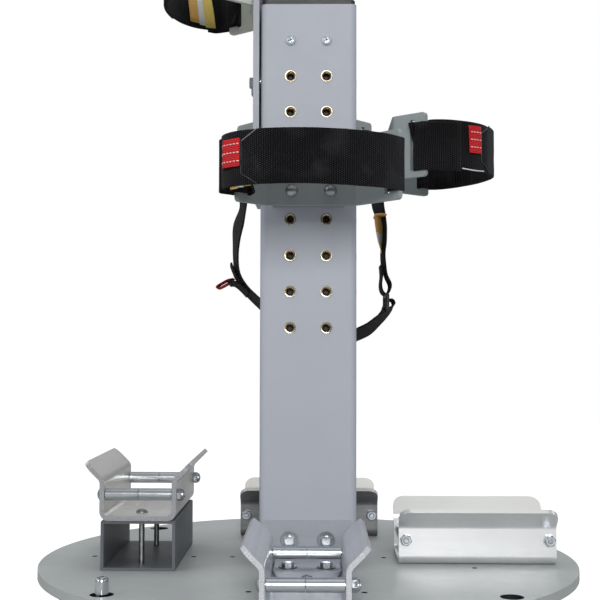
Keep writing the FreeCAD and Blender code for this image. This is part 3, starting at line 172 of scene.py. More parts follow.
def powder_coat(name, colour, rough, rim=None):
    """Powder-coated steel: orange peel, faint mottling, and paint worn thin along edges.

    With rim, upright faces nearer than that to the axis, the walls of holes, are painted dark as
    painted shade inside the holes."""
    t = Surface(name)
    base = linear(*colour)
    body = t.ramp(t.noise(14.0, 4.0), [(0.35, shade(base, 0.94)), (0.65, shade(base, 1.06))])
    grain = t.noise(1500.0)
    body = t.overlay(0.10, body, grain, (0.3, 0.1), (0.7, 0.9))
    body = t.mix(t.math("MULTIPLY", t.edges(0.51, 0.58), 0.7), body, shade(base, 1.25))
    # painted shade: upright faces within rim of the axis, the walls of holes, are darkened
    if rim:
        coords = t.add("ShaderNodeTexCoord")
        upright = t.add("ShaderNodeSeparateXYZ", {0: coords.outputs["Normal"]}).outputs[2]
        flat = t.add("ShaderNodeVectorMath", {0: coords.outputs["Object"], 1: (1, 1, 0)},
                     operation="MULTIPLY")
        reach = t.add("ShaderNodeVectorMath", {0: flat}, operation="LENGTH").outputs["Value"]
        hole_shade = t.math("MULTIPLY", t.math("LESS_THAN", t.math("ABSOLUTE", upright), 0.6),
                      t.math("LESS_THAN", reach, rim))
        body = t.mix(hole_shade, body, linear(34, 35, 37))
    t.set(Base_Color=body, Specular_IOR_Level=0.2,
          Roughness=t.spread(t.noise(60.0, 3.0), rough - 0.07, rough + 0.08),
          Normal=t.bump(grain, 0.12, 0.0001, t.bump(t.noise(520.0), 0.22, 0.00025)))
    return t.material


def rolled(name, colour, rough):
    """Bare steel with rolling lines, handling scratches and bright cut edges."""
    t = Surface(name)
    base = linear(*colour)
    lines = t.noise(90.0, 6.0, rough=0.65)
    patches = t.noise(22.0, 5.0)
    body = t.mix(t.ramp(patches, [(0.38, 0), (0.66, 0.55)]), base, shade(base, 0.72))
    body = t.overlay(0.28, body, lines, (0.35, 0.15), (0.65, 0.95))
    body = t.mix(t.math("MULTIPLY", t.edges(0.51, 0.57), 0.35), body, shade(base, 1.35))
    uneven = t.math("ADD", lines, patches)
    scratches = t.noise(900.0, 3.0, (1, 1, 0.06))
    t.set(Base_Color=body, Metallic=1.0,
          Roughness=t.spread(uneven, rough - 0.1, rough + 0.16, 0.7, 1.3),
          Normal=t.bump(scratches, 0.25, 0.0001, t.bump(lines, 0.25, 0.0002)))
    return t.material


def plated(name, colour, rough, tint=0.25, metal=1.0):
    """Zinc, nickel or chrome plate with faint clouding and tiny pits."""
    t = Surface(name)
    base = linear(*colour)
    cloud = t.noise(110.0, 3.0)
    t.set(Base_Color=t.ramp(cloud, [(0.36, shade(base, 1 - tint)), (0.62, base)]),
          Metallic=metal, Roughness=t.spread(cloud, rough * 0.85, rough * 1.2),
          Normal=t.bump(t.noise(2400.0), 0.03, 0.0001))
    return t.material


def brushed(name, colour, end_axis, metal, upper=None, sawn=(158, 196, 236)):
    """Mill aluminium: fine grain along the channel, and sawn ends with small bright specks.

    end_axis is 0 or 1, the axis that the sawn ends face.  upper is painted top light: the colour
    of the faces that tilt upwards, paler as if lit from above, and sawn the dark, middle and
    bright grey of the ends."""
    t = Surface(name)
    base = linear(*colour)
    lengthways = end_axis == 1
    grain = t.noise(620.0, 5.0, (0.05, 1, 1) if lengthways else (1, 0.05, 1), 0.7)
    lines = t.noise(150.0, 3.0, (1, 0.03, 1) if lengthways else (0.03, 1, 1), 0.6)
    patches = t.noise(9.0, 4.0)
    body = t.mix(t.ramp(patches, [(0.4, 0), (0.62, 0.6)]), base, shade(base, 0.86))
    body = t.overlay(0.20, body, grain, (0.3, 0.2), (0.7, 0.9))
    body = t.overlay(0.14, body, lines, (0.35, 0.15), (0.6, 0.9))
    facing = t.add("ShaderNodeSeparateXYZ", {0: t.add("ShaderNodeTexCoord").outputs["Normal"]})
    ends = t.math("GREATER_THAN", t.math("ABSOLUTE", facing.outputs[end_axis]), 0.6)
    # painted light: faces that tilt upwards blend into the paler upper colour, as if lit from
    # above
    if upper:
        top_light_share = t.ramp(facing.outputs[2], [(0.25, 0), (0.6, 1)])
        body = t.mix(top_light_share, body, linear(*upper))
    specks = t.ramp(t.noise(2300.0), [(stop, linear(grey, grey + 1, grey + 4))
                                      for stop, grey in zip((0.38, 0.52, 0.64), sawn)])
    rough = t.math("ADD", t.math("MULTIPLY", ends, 0.22), t.spread(patches, 0.25, 0.38))
    t.set(Base_Color=t.mix(ends, body, specks), Roughness=rough,
          Metallic=t.math("SUBTRACT", metal, t.math("MULTIPLY", ends, metal * 0.6)),
          Normal=t.bump(grain, 0.12, 0.0001))
    return t.material


def moulded(name, colour, rough=0.5):
    """Moulded plastic or nylon with a fine spark-eroded grain."""
    t = Surface(name)
    base = linear(*colour)
    pale = tuple(min(c * 1.6 + 0.01, 1) for c in base[:3]) + (1,)
    t.set(Base_Color=t.ramp(t.noise(90.0, 3.0), [(0.4, base), (0.75, pale)]), Roughness=rough,
          Normal=t.bump(t.noise(1300.0), 0.2, 0.00015))
    return t.material


def woven(name, yarn, shadow, glint_and_wear, along=0.9, across=0.9, glint_amount=0.2, rough=0.6,
          sheen=0.25, ribs=False):
    """Webbing.  U runs along it and V across it, both in millimetres.  Paler specks on the crowns
    of the weave are painted glints, and paler patches are wear.
    """
    t = Surface(name)

    def wave(item):
        return t.math("ABSOLUTE", t.math("SINE", t.math("MULTIPLY", item, math.pi)))

    split = t.add("ShaderNodeSeparateXYZ", {0: t.add("ShaderNodeUVMap", uv_map="weave")})
    columns = t.math("DIVIDE", split.outputs[0], along)
    rows = t.math("DIVIDE", split.outputs[1], across)
    if ribs:
        dome = wave(rows)
    else:
        shift = t.math("MULTIPLY", t.math("MODULO", t.math("FLOOR", columns), 2.0), 0.5)
        dome = t.math("MULTIPLY", wave(columns), wave(t.math("ADD", rows, shift)))
    fuzz = t.noise(700.0, 3.0)
    body = t.ramp(dome, [(0.08, linear(*shadow)), (0.75, linear(*yarn))])
    body = t.overlay(0.35, body, fuzz, (0.3, 0.2), (0.75, 0.9))
    # painted highlight: crowns of the weave turn paler in random patches, as glints of light on
    # the yarn
    glint = t.math("MULTIPLY", t.math("GREATER_THAN", dome, 0.86), glint_amount)
    glint = t.math("MULTIPLY", glint, t.ramp(t.noise(14.0, 3.0), [(0.40, 0.25), (0.60, 1)]))
    body = t.mix(glint, body, linear(*glint_and_wear))
    worn = t.ramp(t.noise(35.0, 4.0), [(0.55, 0), (0.8, 0.12)])
    t.set(Base_Color=t.mix(worn, body, linear(*glint_and_wear)), Roughness=rough,
          Specular_IOR_Level=0.15, Sheen_Weight=sheen, Sheen_Roughness=0.5,
          Normal=t.bump(fuzz, 0.25, 0.0001, t.bump(dome, 0.7, 0.0005)))
    return t.material


COLUMN = powder_coat("column_paint", (168, 171, 179), 0.42)
PLATE = powder_coat("plate_paint", (174, 178, 176), 0.4, rim=RIM)
FLOOR = powder_coat("floor_paint", (40, 41, 44), 0.5)
BRACKET = powder_coat("bracket_paint", (150, 157, 157), 0.46)
WING = powder_coat("wing_paint", (196, 200, 188), 0.46)
TUBE = powder_coat("tube_paint", (98, 100, 105), 0.4)
RACE = rolled("race_steel", (150, 152, 155), 0.34)
# Four copies of one mill aluminium whose brightness paints the light each cradle gets: the right
# cradle's copy is painted lit, the rear one behind the column painted shaded, and the front and
# left ones differ a little in the same way; the rear and right ones also get painted top light.
CLEAR = brushed("mill_aluminium", (216, 217, 222), 1, 0.65, sawn=(150, 210, 250))
CLEAR_LEFT = brushed("mill_aluminium_left", (228, 226, 221), 1, 0.6, sawn=(120, 152, 205))
CLEAR_REAR_SHADED = brushed("mill_aluminium_rear_shaded", (132, 132, 134), 0, 0.65, (236, 234, 226))
CLEAR_X_LIT = brushed("mill_aluminium_cross_lit", (246, 246, 247), 0, 0.75, (254, 253, 246))
ZINC = plated("zinc_plate", (200, 204, 209), 0.22)
BRIGHT = plated("bright_zinc", (204, 212, 222), 0.3, 0.12, 0.6)
STEEL = plated("turned_steel", (200, 204, 207), 0.2, 0.06)
WASHER = plated("washer_zinc", (138, 143, 146), 0.3, 0.2)
CHROME = plated("chrome_plate", (202, 205, 208), 0.07, 0.04)
NICKEL = plated("insert_plate", (160, 151, 129), 0.22, 0.2, 0.95)
INSIDE = plated("insert_thread", (132, 92, 58), 0.32, 0.4)
DOME = plated("dulled_zinc", (176, 178, 181), 0.34, 0.3)
DARK = moulded("recess_shadow", (26, 27, 30))
# painted shade: the dark colour of the slabs that stand for the cap screws' cross recesses
CROSS_SHADE = moulded("cross_recess_shade", (70, 76, 86))
NYLON = moulded("nylon_ring", (196, 204, 214), 0.45)
BLACK = moulded("black_nylon", (22, 22, 24), 0.45)
# A lit and a shaded copy of the heat-cut edge: the lit one, painted light, is used only for the
# top of the front strap's cut end.
WEB_EDGE_LIT = moulded("heat_cut_edge_lit", (118, 118, 122), 0.6)
EDGE_DARK = moulded("heat_cut_shade", (58, 58, 62), 0.6)
THREAD = moulded("white_thread", (232, 230, 228), 0.7)
WEB = woven("black_webbing", (10, 10, 12), (4, 4, 5), (104, 104, 110), 2.2, 2.0, 0.5, 0.9, 0.06)
RED = woven("red_tape", (214, 26, 34), (150, 8, 14), (238, 96, 92), 1.2, 1.6, 0.2, 0.7, 0.1,
            ribs=True)
ORANGE = woven("orange_label", (255, 205, 112), (232, 172, 80), (236, 196, 140))
PALE = woven("white_label", (252, 250, 246), (226, 224, 220), (240, 240, 238))
YELLOW = woven("yellow_label", (255, 232, 128), (238, 204, 96), (242, 224, 150))

# ---------------------------------------------------------------- the CAD pieces

FINISH = {
    COLUMN: ["column", "extension_plate", "foot_bracket_front", "foot_bracket_rear"],
    PLATE: ["turntable_plate"],
    FLOOR: ["floor_plate"],
    BRACKET: ["strap_bracket_front", "strap_bracket_right", "strap_bracket_rear",
              "spacer_front", "spacer_right"],
    WING: ["strap_bracket_left"],
    TUBE: ["riser_tube", "riser_ring"],
    CLEAR: ["cradle_front"],
    CLEAR_LEFT: ["cradle_left"],
    CLEAR_X_LIT: ["cradle_right"],
    CLEAR_REAR_SHADED: ["cradle_rear"],
    STEEL: [n for n in NODES if n.startswith("roller_")],
    CHROME: ["index_pin"],
    ZINC: ["extension_shims", "clamp_screws", "race_screws"],
    WASHER: ["foot_washers"],
    BLACK: ["column_cap", "strap_ring", "slide_liner", "plunger_housing"],
    RACE: ["lower_race", "upper_race", "clamp_ring"],
}
SMALL_BEVEL = 0.2
BEVELS = {  # millimetres, by how a name starts
    "turntable_plate": 0.7, "floor_plate": 0.7, "cradle_": 0.35, "riser_tube": 0.4,
    "spacer_": 0.4, "strap_bracket_": 0.5, "foot_bracket_": 0.5, "extension_plate": 0.5}
WELD_GAP = 2e-6
BEVEL_FROM, SHARP_FROM = math.radians(38), math.radians(35)


def dress(name, material):
    """A CAD piece keeps its shape and gets softened edges and its finish."""
    piece = NODES[name]
    piece.data.materials.clear()
    piece.data.materials.append(material)
    if name == "column":
        return
    for polygon in piece.data.polygons:
        polygon.use_smooth = True
    piece.modifiers.new("weld", "WELD").merge_threshold = WELD_GAP
    soft = piece.modifiers.new("soft_edges", "BEVEL")
    soft.width = next((w for n, w in BEVELS.items() if name.startswith(n)), SMALL_BEVEL) * MM
    soft.segments = 2
    soft.limit_method = "ANGLE"
    soft.angle_limit = BEVEL_FROM
    soft.harden_normals = True
    soft.use_clamp_overlap = True
    flat = piece.modifiers.new("flat_faces", "WEIGHTED_NORMAL")
    flat.mode = "FACE_AREA"
    flat.weight = 100
    flat.keep_sharp = False


for finish, names in FINISH.items():
    for each in names:
        dress(each, finish)

# ---------------------------------------------------------------- shape helpers


def mesh_piece(name, verts, faces, material, uv=None):
    """A new piece on the turntable, from points in metres."""
    data = bpy.data.meshes.new(name)
    data.from_pydata(verts, [], faces)
    if uv is not None:
        layer = data.uv_layers.new(name="weave")
        for loop in data.loops:
            layer.data[loop.index].uv = uv[loop.vertex_index]
    for polygon in data.polygons:
        polygon.use_smooth = True
    data.materials.append(material)
    made = bpy.data.objects.new(name, data)
    bpy.context.scene.collection.objects.link(made)
    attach(made, TURNTABLE)
    return made


def loft(base, rings, around, capped=True):
    """The faces between rings of points that follow one another, and over both ends."""
    faces = []
    for i in range(rings - 1):
        for k in range(around):
            a, b = base + i * around + k, base + i * around + (k + 1) % around
            faces.append((a, b, b + around, a + around))
    if capped:
        last = base + (rings - 1) * around
        faces.append(tuple(base + k for k in reversed(range(around))))
        faces.append(tuple(last + k for k in range(around)))
    return faces


def smooth_path(points, step=2.0, like=None):
    """Points every few millimetres along a Catmull-Rom line through the given ones.

    With like, the steps are spaced as on a line through those points."""
    fixed = [points[0] * 2 - points[1]] + list(points) + [points[-1] * 2 - points[-2]]
    like = points if like is None else like
    spans = [(b - a).length for a, b in zip(like, like[1:])]
    line = []
    for a, b, c, d, span in zip(fixed, fixed[1:], fixed[2:], fixed[3:], spans):
        count = max(2, int(span / step))
        for i in range(count):
            s = i / count
            line.append(0.5 * ((2 * b) + (c - a) * s + (2 * a - 5 * b + 4 * c - d) * s * s
                               + (3 * b - a - 3 * c + d) * s ** 3))
    line.append(points[-1].copy())
    return line


def lengths(line):
    """How far along the line each of its points lies."""
    run = [0.0]
    for a, b in zip(line, line[1:]):
        run.append(run[-1] + (b - a).length)
    return run


def nearest(run, distance):
    """The index of the point that lies nearest to a distance along the line."""
    return min(range(len(run)), key=lambda k: abs(run[k] - distance))


def tangent(line, i):
    return (line[min(i + 1, len(line) - 1)] - line[max(i - 1, 0)]).normalized()


def strip_section(thickness, width, columns=10):
    """Points round a flat woven strip: (share of half its width, height off its middle)."""
    half = thickness / 2
    corner = half / (width / 2)
    top = [(-1 + corner + (2 - 2 * corner) * i / columns, half) for i in range(columns + 1)]
    edge = [(1 - corner * (1 - math.sin(a)), half * math.cos(a))
            for a in (math.radians(d) for d in (36, 72, 108, 144))]
    return top + edge + [(-v, -h) for v, h in top + edge]


DRIFT, RIPPLE = 0.03, 0.06  # how fast a strip's edges wander and its face waves, per millimetre


def strip(name, points, across, width, thickness, material, cut=None, wave=0.25, seed=0,
          step=2.0):
    """A flat strip along a line.  cut is its end's width and the length of the chamfer."""
    if isinstance(across, Vector):
        across = [across] * len(points)
    line = smooth_path(points, step)
    widths = smooth_path(across, step, points)
    run = lengths(line)
    section = strip_section(thickness, width)
    verts, uv = [], []
    for i, p in enumerate(line):
        along = tangent(line, i)
        wide = (widths[i] - along * widths[i].dot(along)).normalized()
        normal = along.cross(wide).normalized()
        half = width / 2
        left = run[-1] - run[i]
        if cut is not None and left < cut[1]:
            half = min(half, cut[0] / 2 + (width - cut[0]) / 2 * left / cut[1])
        drift = wave * noise.noise(Vector((run[i] * DRIFT, seed * 7.3, 1.7)))
        for share, height in section:
            ripple = wave * 0.8 * noise.noise(Vector((run[i] * RIPPLE, share * 2.0,
                                                      seed * 3.1)))
            verts.append((p + wide * (share * half + drift) + normal * (height + ripple)) * MM)
            uv.append((run[i], share * half))
    return mesh_piece(name, verts, loft(0, len(line), len(section)), material, uv)


STITCH_LONG, STITCH_WIDE, STITCH_HIGH = 2.9, 0.95, 0.8
STITCH_STEP, STITCH_ROWS, STITCH_ROW_STEP = 4.3, 3, 7.9
ROUND = 6  # points round a thread


def bead(verts, faces, centre, along, wide, up):
    """One stitch: a short rounded bead that rises from the cloth."""
    shape = [(-0.5, 0.25), (-0.36, 0.85), (0.0, 1.0), (0.36, 0.85), (0.5, 0.25)]
    faces += loft(len(verts), len(shape), ROUND)
    for t, r in shape:
        for k in range(ROUND):
            a = math.pi * 2 * k / ROUND
            verts.append((centre + along * (t * STITCH_LONG)
                          + wide * (math.cos(a) * r * STITCH_WIDE / 2)
                          + up * (math.sin(a) * r * STITCH_HIGH / 2)) * MM)


def thread(name, points, radius, material):
    """A thin round thread or edge along a line."""
    line = smooth_path(points, 1.5)
    verts, last = [], None
    for i, p in enumerate(line):
        t = tangent(line, i)
        a = t.orthogonal().normalized()
        b = t.cross(a)
        if i and (a - last).length > 0.5:
            a, b = last, t.cross(last).normalized()
        last = a
        for k in range(ROUND):
            turn = math.pi * 2 * k / ROUND
            verts.append((p + a * (radius * math.cos(turn)) + b * (radius * math.sin(turn))) * MM)
    return mesh_piece(name, verts, loft(0, len(line), ROUND), material)


# ---------------------------------------------------------------- the plunger's spring

# It shortens as the pin is pressed; here a copy of the CAD coil stands in for it.
coil = NODES["plunger_spring"]
spring = mesh_piece("plunger_spring_coil",
                    [tuple(coil.matrix_world @ v.co) for v in coil.data.vertices],
                    [tuple(p.vertices) for p in coil.data.polygons], ZINC)
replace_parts(spring, "plunger_spring")
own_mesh(spring)

# ---------------------------------------------------------------- fasteners

SEGMENTS = 24  # points round a turned piece
FLAT_TURN = 30.0  # degrees from a hexagon's corner to the middle of a flat
SHANK, AXLE = 2.9, 3.1
HEAD, HEX_HEAD, CROSS_HEAD = 3.3, 4.2, 3.0  # how deep the heads are
HEX = 5.5  # half the distance between a hexagon's flats
THREAD_STEP, THREAD_DEEP, THREADED = 0.64, 0.32, 10.0
BUSH_STEP, BUSH_THREAD_END = 1.2, 9.0
NUT_HIGH = 7.0
NEAR_END = 3.0  # points this near a fastener's end belong to that end
SHORTEST_BOLT = 5.0  # anything shorter is a washer


def islands(name):
    """The separate solids of a CAD node, each as a list of points in millimetres."""
    piece = NODES[name]
    spots = [piece.matrix_world @ v.co / MM for v in piece.data.vertices]
    keys = [tuple(round(c, 2) for c in p) for p in spots]
    parent = {key: key for key in keys}

    def root(key):
        while parent[key] != key:
            parent[key] = parent[parent[key]]
            key = parent[key]
        return key

    for polygon in piece.data.polygons:
        first = root(keys[polygon.vertices[0]])
        for i in polygon.vertices:
            parent[root(keys[i])] = first
    groups = {}
    for key in parent:
        groups.setdefault(root(key), []).append(Vector(key))
    return list(groups.values())


def ends_of(points, axis=None, sign=None):
    """The middle of a fastener's outer end, its outward direction and its length.

    Without an axis it is the longest one, and without a sign the head's end is the outer."""
    low = Vector([min(p[i] for p in points) for i in range(3)])
    high = Vector([max(p[i] for p in points) for i in range(3)])
    if axis is None:
        axis = max(range(3), key=lambda i: high[i] - low[i])
    middle = (low + high) / 2

    def reach(end):
        wide = [p - middle for p in points if abs(p[axis] - end) < NEAR_END]
        for w in wide:
            w[axis] = 0
        return max(w.length for w in wide)

    if sign is None:
        sign = 1 if reach(high[axis]) > reach(low[axis]) else -1
    out = Vector((0, 0, 0))
    out[axis] = sign
    middle[axis] = high[axis] if sign > 0 else low[axis]
    return middle, out, high[axis] - low[axis]


class Batch:
    """Many turned or hexagonal pieces gathered in one mesh with several finishes."""

    def __init__(self, *materials):
        self.materials = materials
        self.verts, self.faces, self.marks = [], [], []

    def turn(self, top, out, profile, twist=0.0):
        """profile rows are (radius, height, is it six-sided, finish of the band that follows)."""
        side = Vector((0, 0, 1)) if abs(out.z) < 0.5 else Vector((1, 0, 0))
        other = out.cross(side)
        self.faces += loft(len(self.verts), len(profile), SEGMENTS, capped=False)
        for row in profile[:-1]:
            self.marks += [row[3]] * SEGMENTS
        for radius, height, six, _ in profile:
            for k in range(SEGMENTS):
                a = 2 * math.pi * k / SEGMENTS
                r = radius
                if six:
                    r /= math.cos(math.radians((math.degrees(a) % 60) - FLAT_TURN))
                a += twist
                self.verts.append((top + out * height + side * (r * math.cos(a))
                                   + other * (r * math.sin(a))) * MM)

    def slab(self, centre, x, y, z, size, mark):
        base = len(self.verts)
        for i in (-0.5, 0.5):
            for j in (-0.5, 0.5):
                for k in (-0.5, 0.5):
                    self.verts.append((centre + x * (i * size[0]) + y * (j * size[1])
                                       + z * (k * size[2])) * MM)
        for f in ((0, 1, 3, 2), (4, 6, 7, 5), (0, 4, 5, 1), (2, 3, 7, 6), (0, 2, 6, 4),
                  (1, 5, 7, 3)):
            self.faces.append(tuple(base + i for i in f))
            self.marks.append(mark)

    def done(self, node):
        """The piece that stands for the node."""
        made = mesh_piece(node + "_detail", self.verts, self.faces, self.materials[0])
        for extra in self.materials[1:]:
            made.data.materials.append(extra)
        for polygon, mark in zip(made.data.polygons, self.marks):
            polygon.material_index = mark
        made.data.set_sharp_from_angle(angle=SHARP_FROM)
        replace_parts(made, node)


def rings(*spots, mark=0, six=False):
    """Profile rows, one for each (radius, height)."""
    return [(radius, height, six, mark) for radius, height in spots]


def shank(length, head, radius=SHANK):
    """The part of a bolt under its head, threaded along its last millimetres."""
    rows = rings((radius, -head))
    z = max(length - THREADED, head + 1.0)
    while z < length - 1.2:
        rows += rings((radius, -z), (radius - THREAD_DEEP, -z - THREAD_DEEP))
        z += THREAD_STEP
    return rows + rings((radius - 0.3, -length + 0.6), (radius - 0.9, -length), (0.01, -length))


def button(length, radius):
    """A button head with a hexagon socket."""
    return (rings((0.01, -1.9), (1.95, -1.9), mark=1, six=True) + rings((1.95, -0.25), six=True)
            + rings((2.3, -0.02), (3.4, -0.12), (4.5, -0.6), (5.4, -1.4), (6.0, -2.4),
                    (6.2, -3.1), (6.1, -3.3)) + shank(length, HEAD, radius))


def dome(length, radius):
    """A plain domed head, in the third finish."""
    return rings((0.01, 0.0), (1.6, -0.05), (3.0, -0.35), (4.3, -0.95), (5.3, -1.8),
                 (6.0, -2.75), (6.2, -3.15), (6.1, -3.3), (radius, -HEAD),
                 mark=2) + shank(length, HEAD, radius)[1:]


def hex_head(length, radius):
    return (rings((0.01, -0.25), (4.2, -0.25), (4.5, 0.0), (5.15, 0.0))
            + rings((HEX, -0.5), mark=2, six=True) + rings((HEX, -3.9), six=True)
            + rings((5.2, -HEX_HEAD)) + shank(length, HEX_HEAD, radius))


def lock_nut(length):
    """A hex nut with a rolled collar that holds a nylon ring."""
    bore = SHANK + 0.05
    return (rings((bore, -length), mark=1) + rings((bore, -0.9), (4.3, -0.5), mark=2)
            + rings((4.35, 0.0), (4.75, 0.0), (5.0, -0.5), (5.0, -1.7), (5.35, -1.9))
            + rings((HEX, -2.4), (HEX, -length + 0.5), six=True) + rings((5.1, -length)))


def insert():
    """A flanged bush with a threaded bore."""
    rows = rings((6.2, -0.8), (6.2, -0.3), (5.9, 0.0), (4.7, 0.0), (4.3, -0.25))
    rows += rings((3.5, -1.7), mark=1)
    z = 1.7
    while z < BUSH_THREAD_END:
        rows += rings((2.95, -z - BUSH_STEP / 2), (3.3, -z - BUSH_STEP), mark=1)
        z += BUSH_STEP
    return rows + rings((3.0, -z - 0.4), (0.01, -z - 0.4), mark=2)


for node, head, radius in (("cradle_bolts", button, SHANK), ("riser_bolts", button, SHANK),
                           ("foot_bolts", hex_head, SHANK), ("bracket_bolts", button, SHANK),
                           ("axle_bolts", dome, AXLE)):
    batch = Batch(DOME if node == "riser_bolts" else ZINC, DARK, DOME)
    for points in islands(node):
        top, out, length = ends_of(points)
        domed = node == "bracket_bolts" and out.y < -0.5  # the front bracket's heads
        batch.turn(top, out, (dome if domed else head)(length, radius),
                   twist=0.3 * (top.x + top.y))
    batch.done(node)

for node in ("axle_nuts", "bracket_nuts"):
    batch = Batch(ZINC, DARK, NYLON)
    for points in islands(node):
        size = [max(p[i] for p in points) - min(p[i] for p in points) for i in range(3)]
        axis = min(range(3), key=lambda i: abs(size[i] - NUT_HIGH))
        centre = sum(points, Vector()) / len(points)
        outward = centre[axis] < 0 if node == "bracket_nuts" else axis == 0
        top, out, length = ends_of(points, axis, 1 if outward else -1)
        batch.turn(top, out, lock_nut(length), twist=0.4 * (top.x + top.z))
    batch.done(node)

batch = Batch(ZINC, DARK, DOME)
for points in islands("extension_bolts"):
    top, out, length = ends_of(points, 0, -1)
    if length > SHORTEST_BOLT:
        batch.turn(top, out, hex_head(length, SHANK), twist=0.5)
    else:
        batch.turn(top, out, rings((3.4, -1.5), (3.4, 0), (9.1, 0), (9.3, -0.2), (9.3, -1.5),
                                   (3.4, -1.5)))
batch.done("extension_bolts")

CROSS_TURN, CROSS_ARM = 0.35, (5.2, 1.2, 0.2)
batch = Batch(BRIGHT, CROSS_SHADE)
for points in islands("cap_screws"):
    top, out, length = ends_of(points, 1, -1)
    batch.turn(top, out, rings((0.01, -0.1), (2.6, -0.15), (4.2, -0.55), (5.2, -1.3),
                               (5.7, -2.4), (5.6, -CROSS_HEAD)) + shank(length, CROSS_HEAD))
    # two dark slabs on each head paint the shade inside the cross recess
    for turn in (CROSS_TURN, CROSS_TURN + math.pi / 2):
        x = Vector((math.cos(turn), 0, math.sin(turn)))
        batch.slab(top + out * -0.12, x, x.cross(out), out, CROSS_ARM, 1)
batch.done("cap_screws")

for side, axis, sign in (("front", 1, -1), ("right", 0, 1), ("rear", 1, 1), ("left", 0, -1)):
    batch = Batch(NICKEL, INSIDE, DARK)
    for points in islands("inserts_" + side):
        top, out, _ = ends_of(points, axis, sign)
        batch.turn(top, out, insert())
    batch.done("inserts_" + side)

# ---------------------------------------------------------------- straps

WEB_WIDTH, LAYER, HALF_LAYER = 50.8, 2.3, 1.15
WING_ANGLE, HALF_BRACKET, PLATE_T, OUTER_BAR = math.radians(50), 46.3, 4.76, 13.0
LONG_WING, SHORT_WING = 62.5, 41.9
BAR_GAP = 0.35  # between the bracket's bar and the webbing round it
SIDES = {  # angle, distance of the bracket's back, sideways shift, height above the plate
    "front": (0, 127.0, 3.2, 400.4),
    "right": (90, 88.9, 0.0, 438.5),
    "rear": (180, 50.8, 0.0, 457.55),
    "left": (270, 58.95, 0.0, 626.0),
}
PLANS = {  # where each closed strap runs, seen from above in its bracket's own frame
    "front": [(-84, -48), (-80, -66), (-66, -82), (-40, -93), (-4, -96), (34, -87), (66, -69)],
    "right": [(-72, -60), (-58, -85), (-38, -101), (-8, -111), (20, -107), (44, -97.5),
              (68, -82), (84, -63)],
    "left": [(-80, -51), (-66, -77), (-38, -94), (0, -99), (40, -94), (71, -81), (87, -63)],
}
TAIL_LOW = -2.5  # how far the under piece's sewn tail hangs below the bracket's middle
CUT_WIDTH, CUT_LONG = 30.0, 17.0  # the chamfered end: its last width and its length
TAB_THICK, TAB_GAP = 1.2, 1.9


def on_bracket(side, x, y, z=0.0):
    """A point in a bracket's own frame, in the row frame and millimetres."""
    angle, out, shift, height = SIDES[side]
    a = math.radians(angle)
    px, py = x + shift, y - out
    return Vector((px * math.cos(a) - py * math.sin(a), px * math.sin(a) + py * math.cos(a),
                   DECK + height + z))


def route(side, plan):
    return [on_bracket(side, p.x, p.y) for p in plan]


def wing(sign):
    """A wing's direction, the direction to its inner side, and the middle of its outer bar."""
    length = LONG_WING if sign > 0 else SHORT_WING
    along = Vector((sign * math.cos(WING_ANGLE), -math.sin(WING_ANGLE)))
    inside = Vector((-sign * math.sin(WING_ANGLE), -math.cos(WING_ANGLE)))
    root = Vector((sign * HALF_BRACKET, 0))
    return along, inside, root + along * (length - OUTER_BAR / 2) + inside * (PLATE_T / 2)


def wrap(sign, tail, flip=1):
    """The sewn end round the outer bar: from the tail, through the slot, to the other face.

    flip is 1 where the tail lies on the tool's side and -1 where it lies outside."""
    along, inside, bar = wing(sign)
    deep = PLATE_T / 2 + BAR_GAP + HALF_LAYER
    wide = OUTER_BAR / 2 + BAR_GAP + HALF_LAYER
    loop = [(wide - 2.2, deep), (2.0, deep + 0.15), (-wide + 2.4, deep), (-wide + 0.5, deep - 1.6),
            (-wide, 0.0), (-wide + 0.5, -deep + 1.6), (-wide + 2.4, -deep), (2.0, -deep - 0.15),
            (wide - 1.6, -deep + 0.1)]
    return tail + [bar + along * a + inside * n * flip for a, n in loop]


def offset_plan(points, amount):
    """Shifts a plan line to its left."""
    out = []
    for i, p in enumerate(points):
        t = tangent(points, i)
        out.append(p + Vector((-t.y, t.x)) * amount)
    return out


def plan_line(side):
    """The middle line of a closed strap, from bar to bar."""
    ends = [bar + along * (OUTER_BAR / 2 + 2.8) for along, _, bar in (wing(-1), wing(1))]
    return [ends[0]] + [Vector(p) for p in PLANS[side]] + [ends[1]]


def under_piece(side, stop_x):
    """The webbing that comes from the short wing and runs underneath, its tail sewn outside."""
    middle = plan_line(side)
    inner, outside = offset_plan(middle, HALF_LAYER), offset_plan(middle, -HALF_LAYER)
    tail = [outside[1].lerp(outside[2], 0.35), outside[1], outside[0].lerp(outside[1], 0.25)]
    under = wrap(-1, tail, -1) + [inner[0].lerp(inner[1], 0.2)]
    points = route(side, under + [p for p in inner[1:] if p.x < stop_x])
    for i, share in enumerate([1.0] * 3 + [0.8] * 4 + [0.4]):
        points[i] = points[i] + UP * (TAIL_LOW * share)
    return strip(f"{side}_strap_under", points, UP, WEB_WIDTH, LAYER, WEB, wave=0.35,
                 seed=len(side))


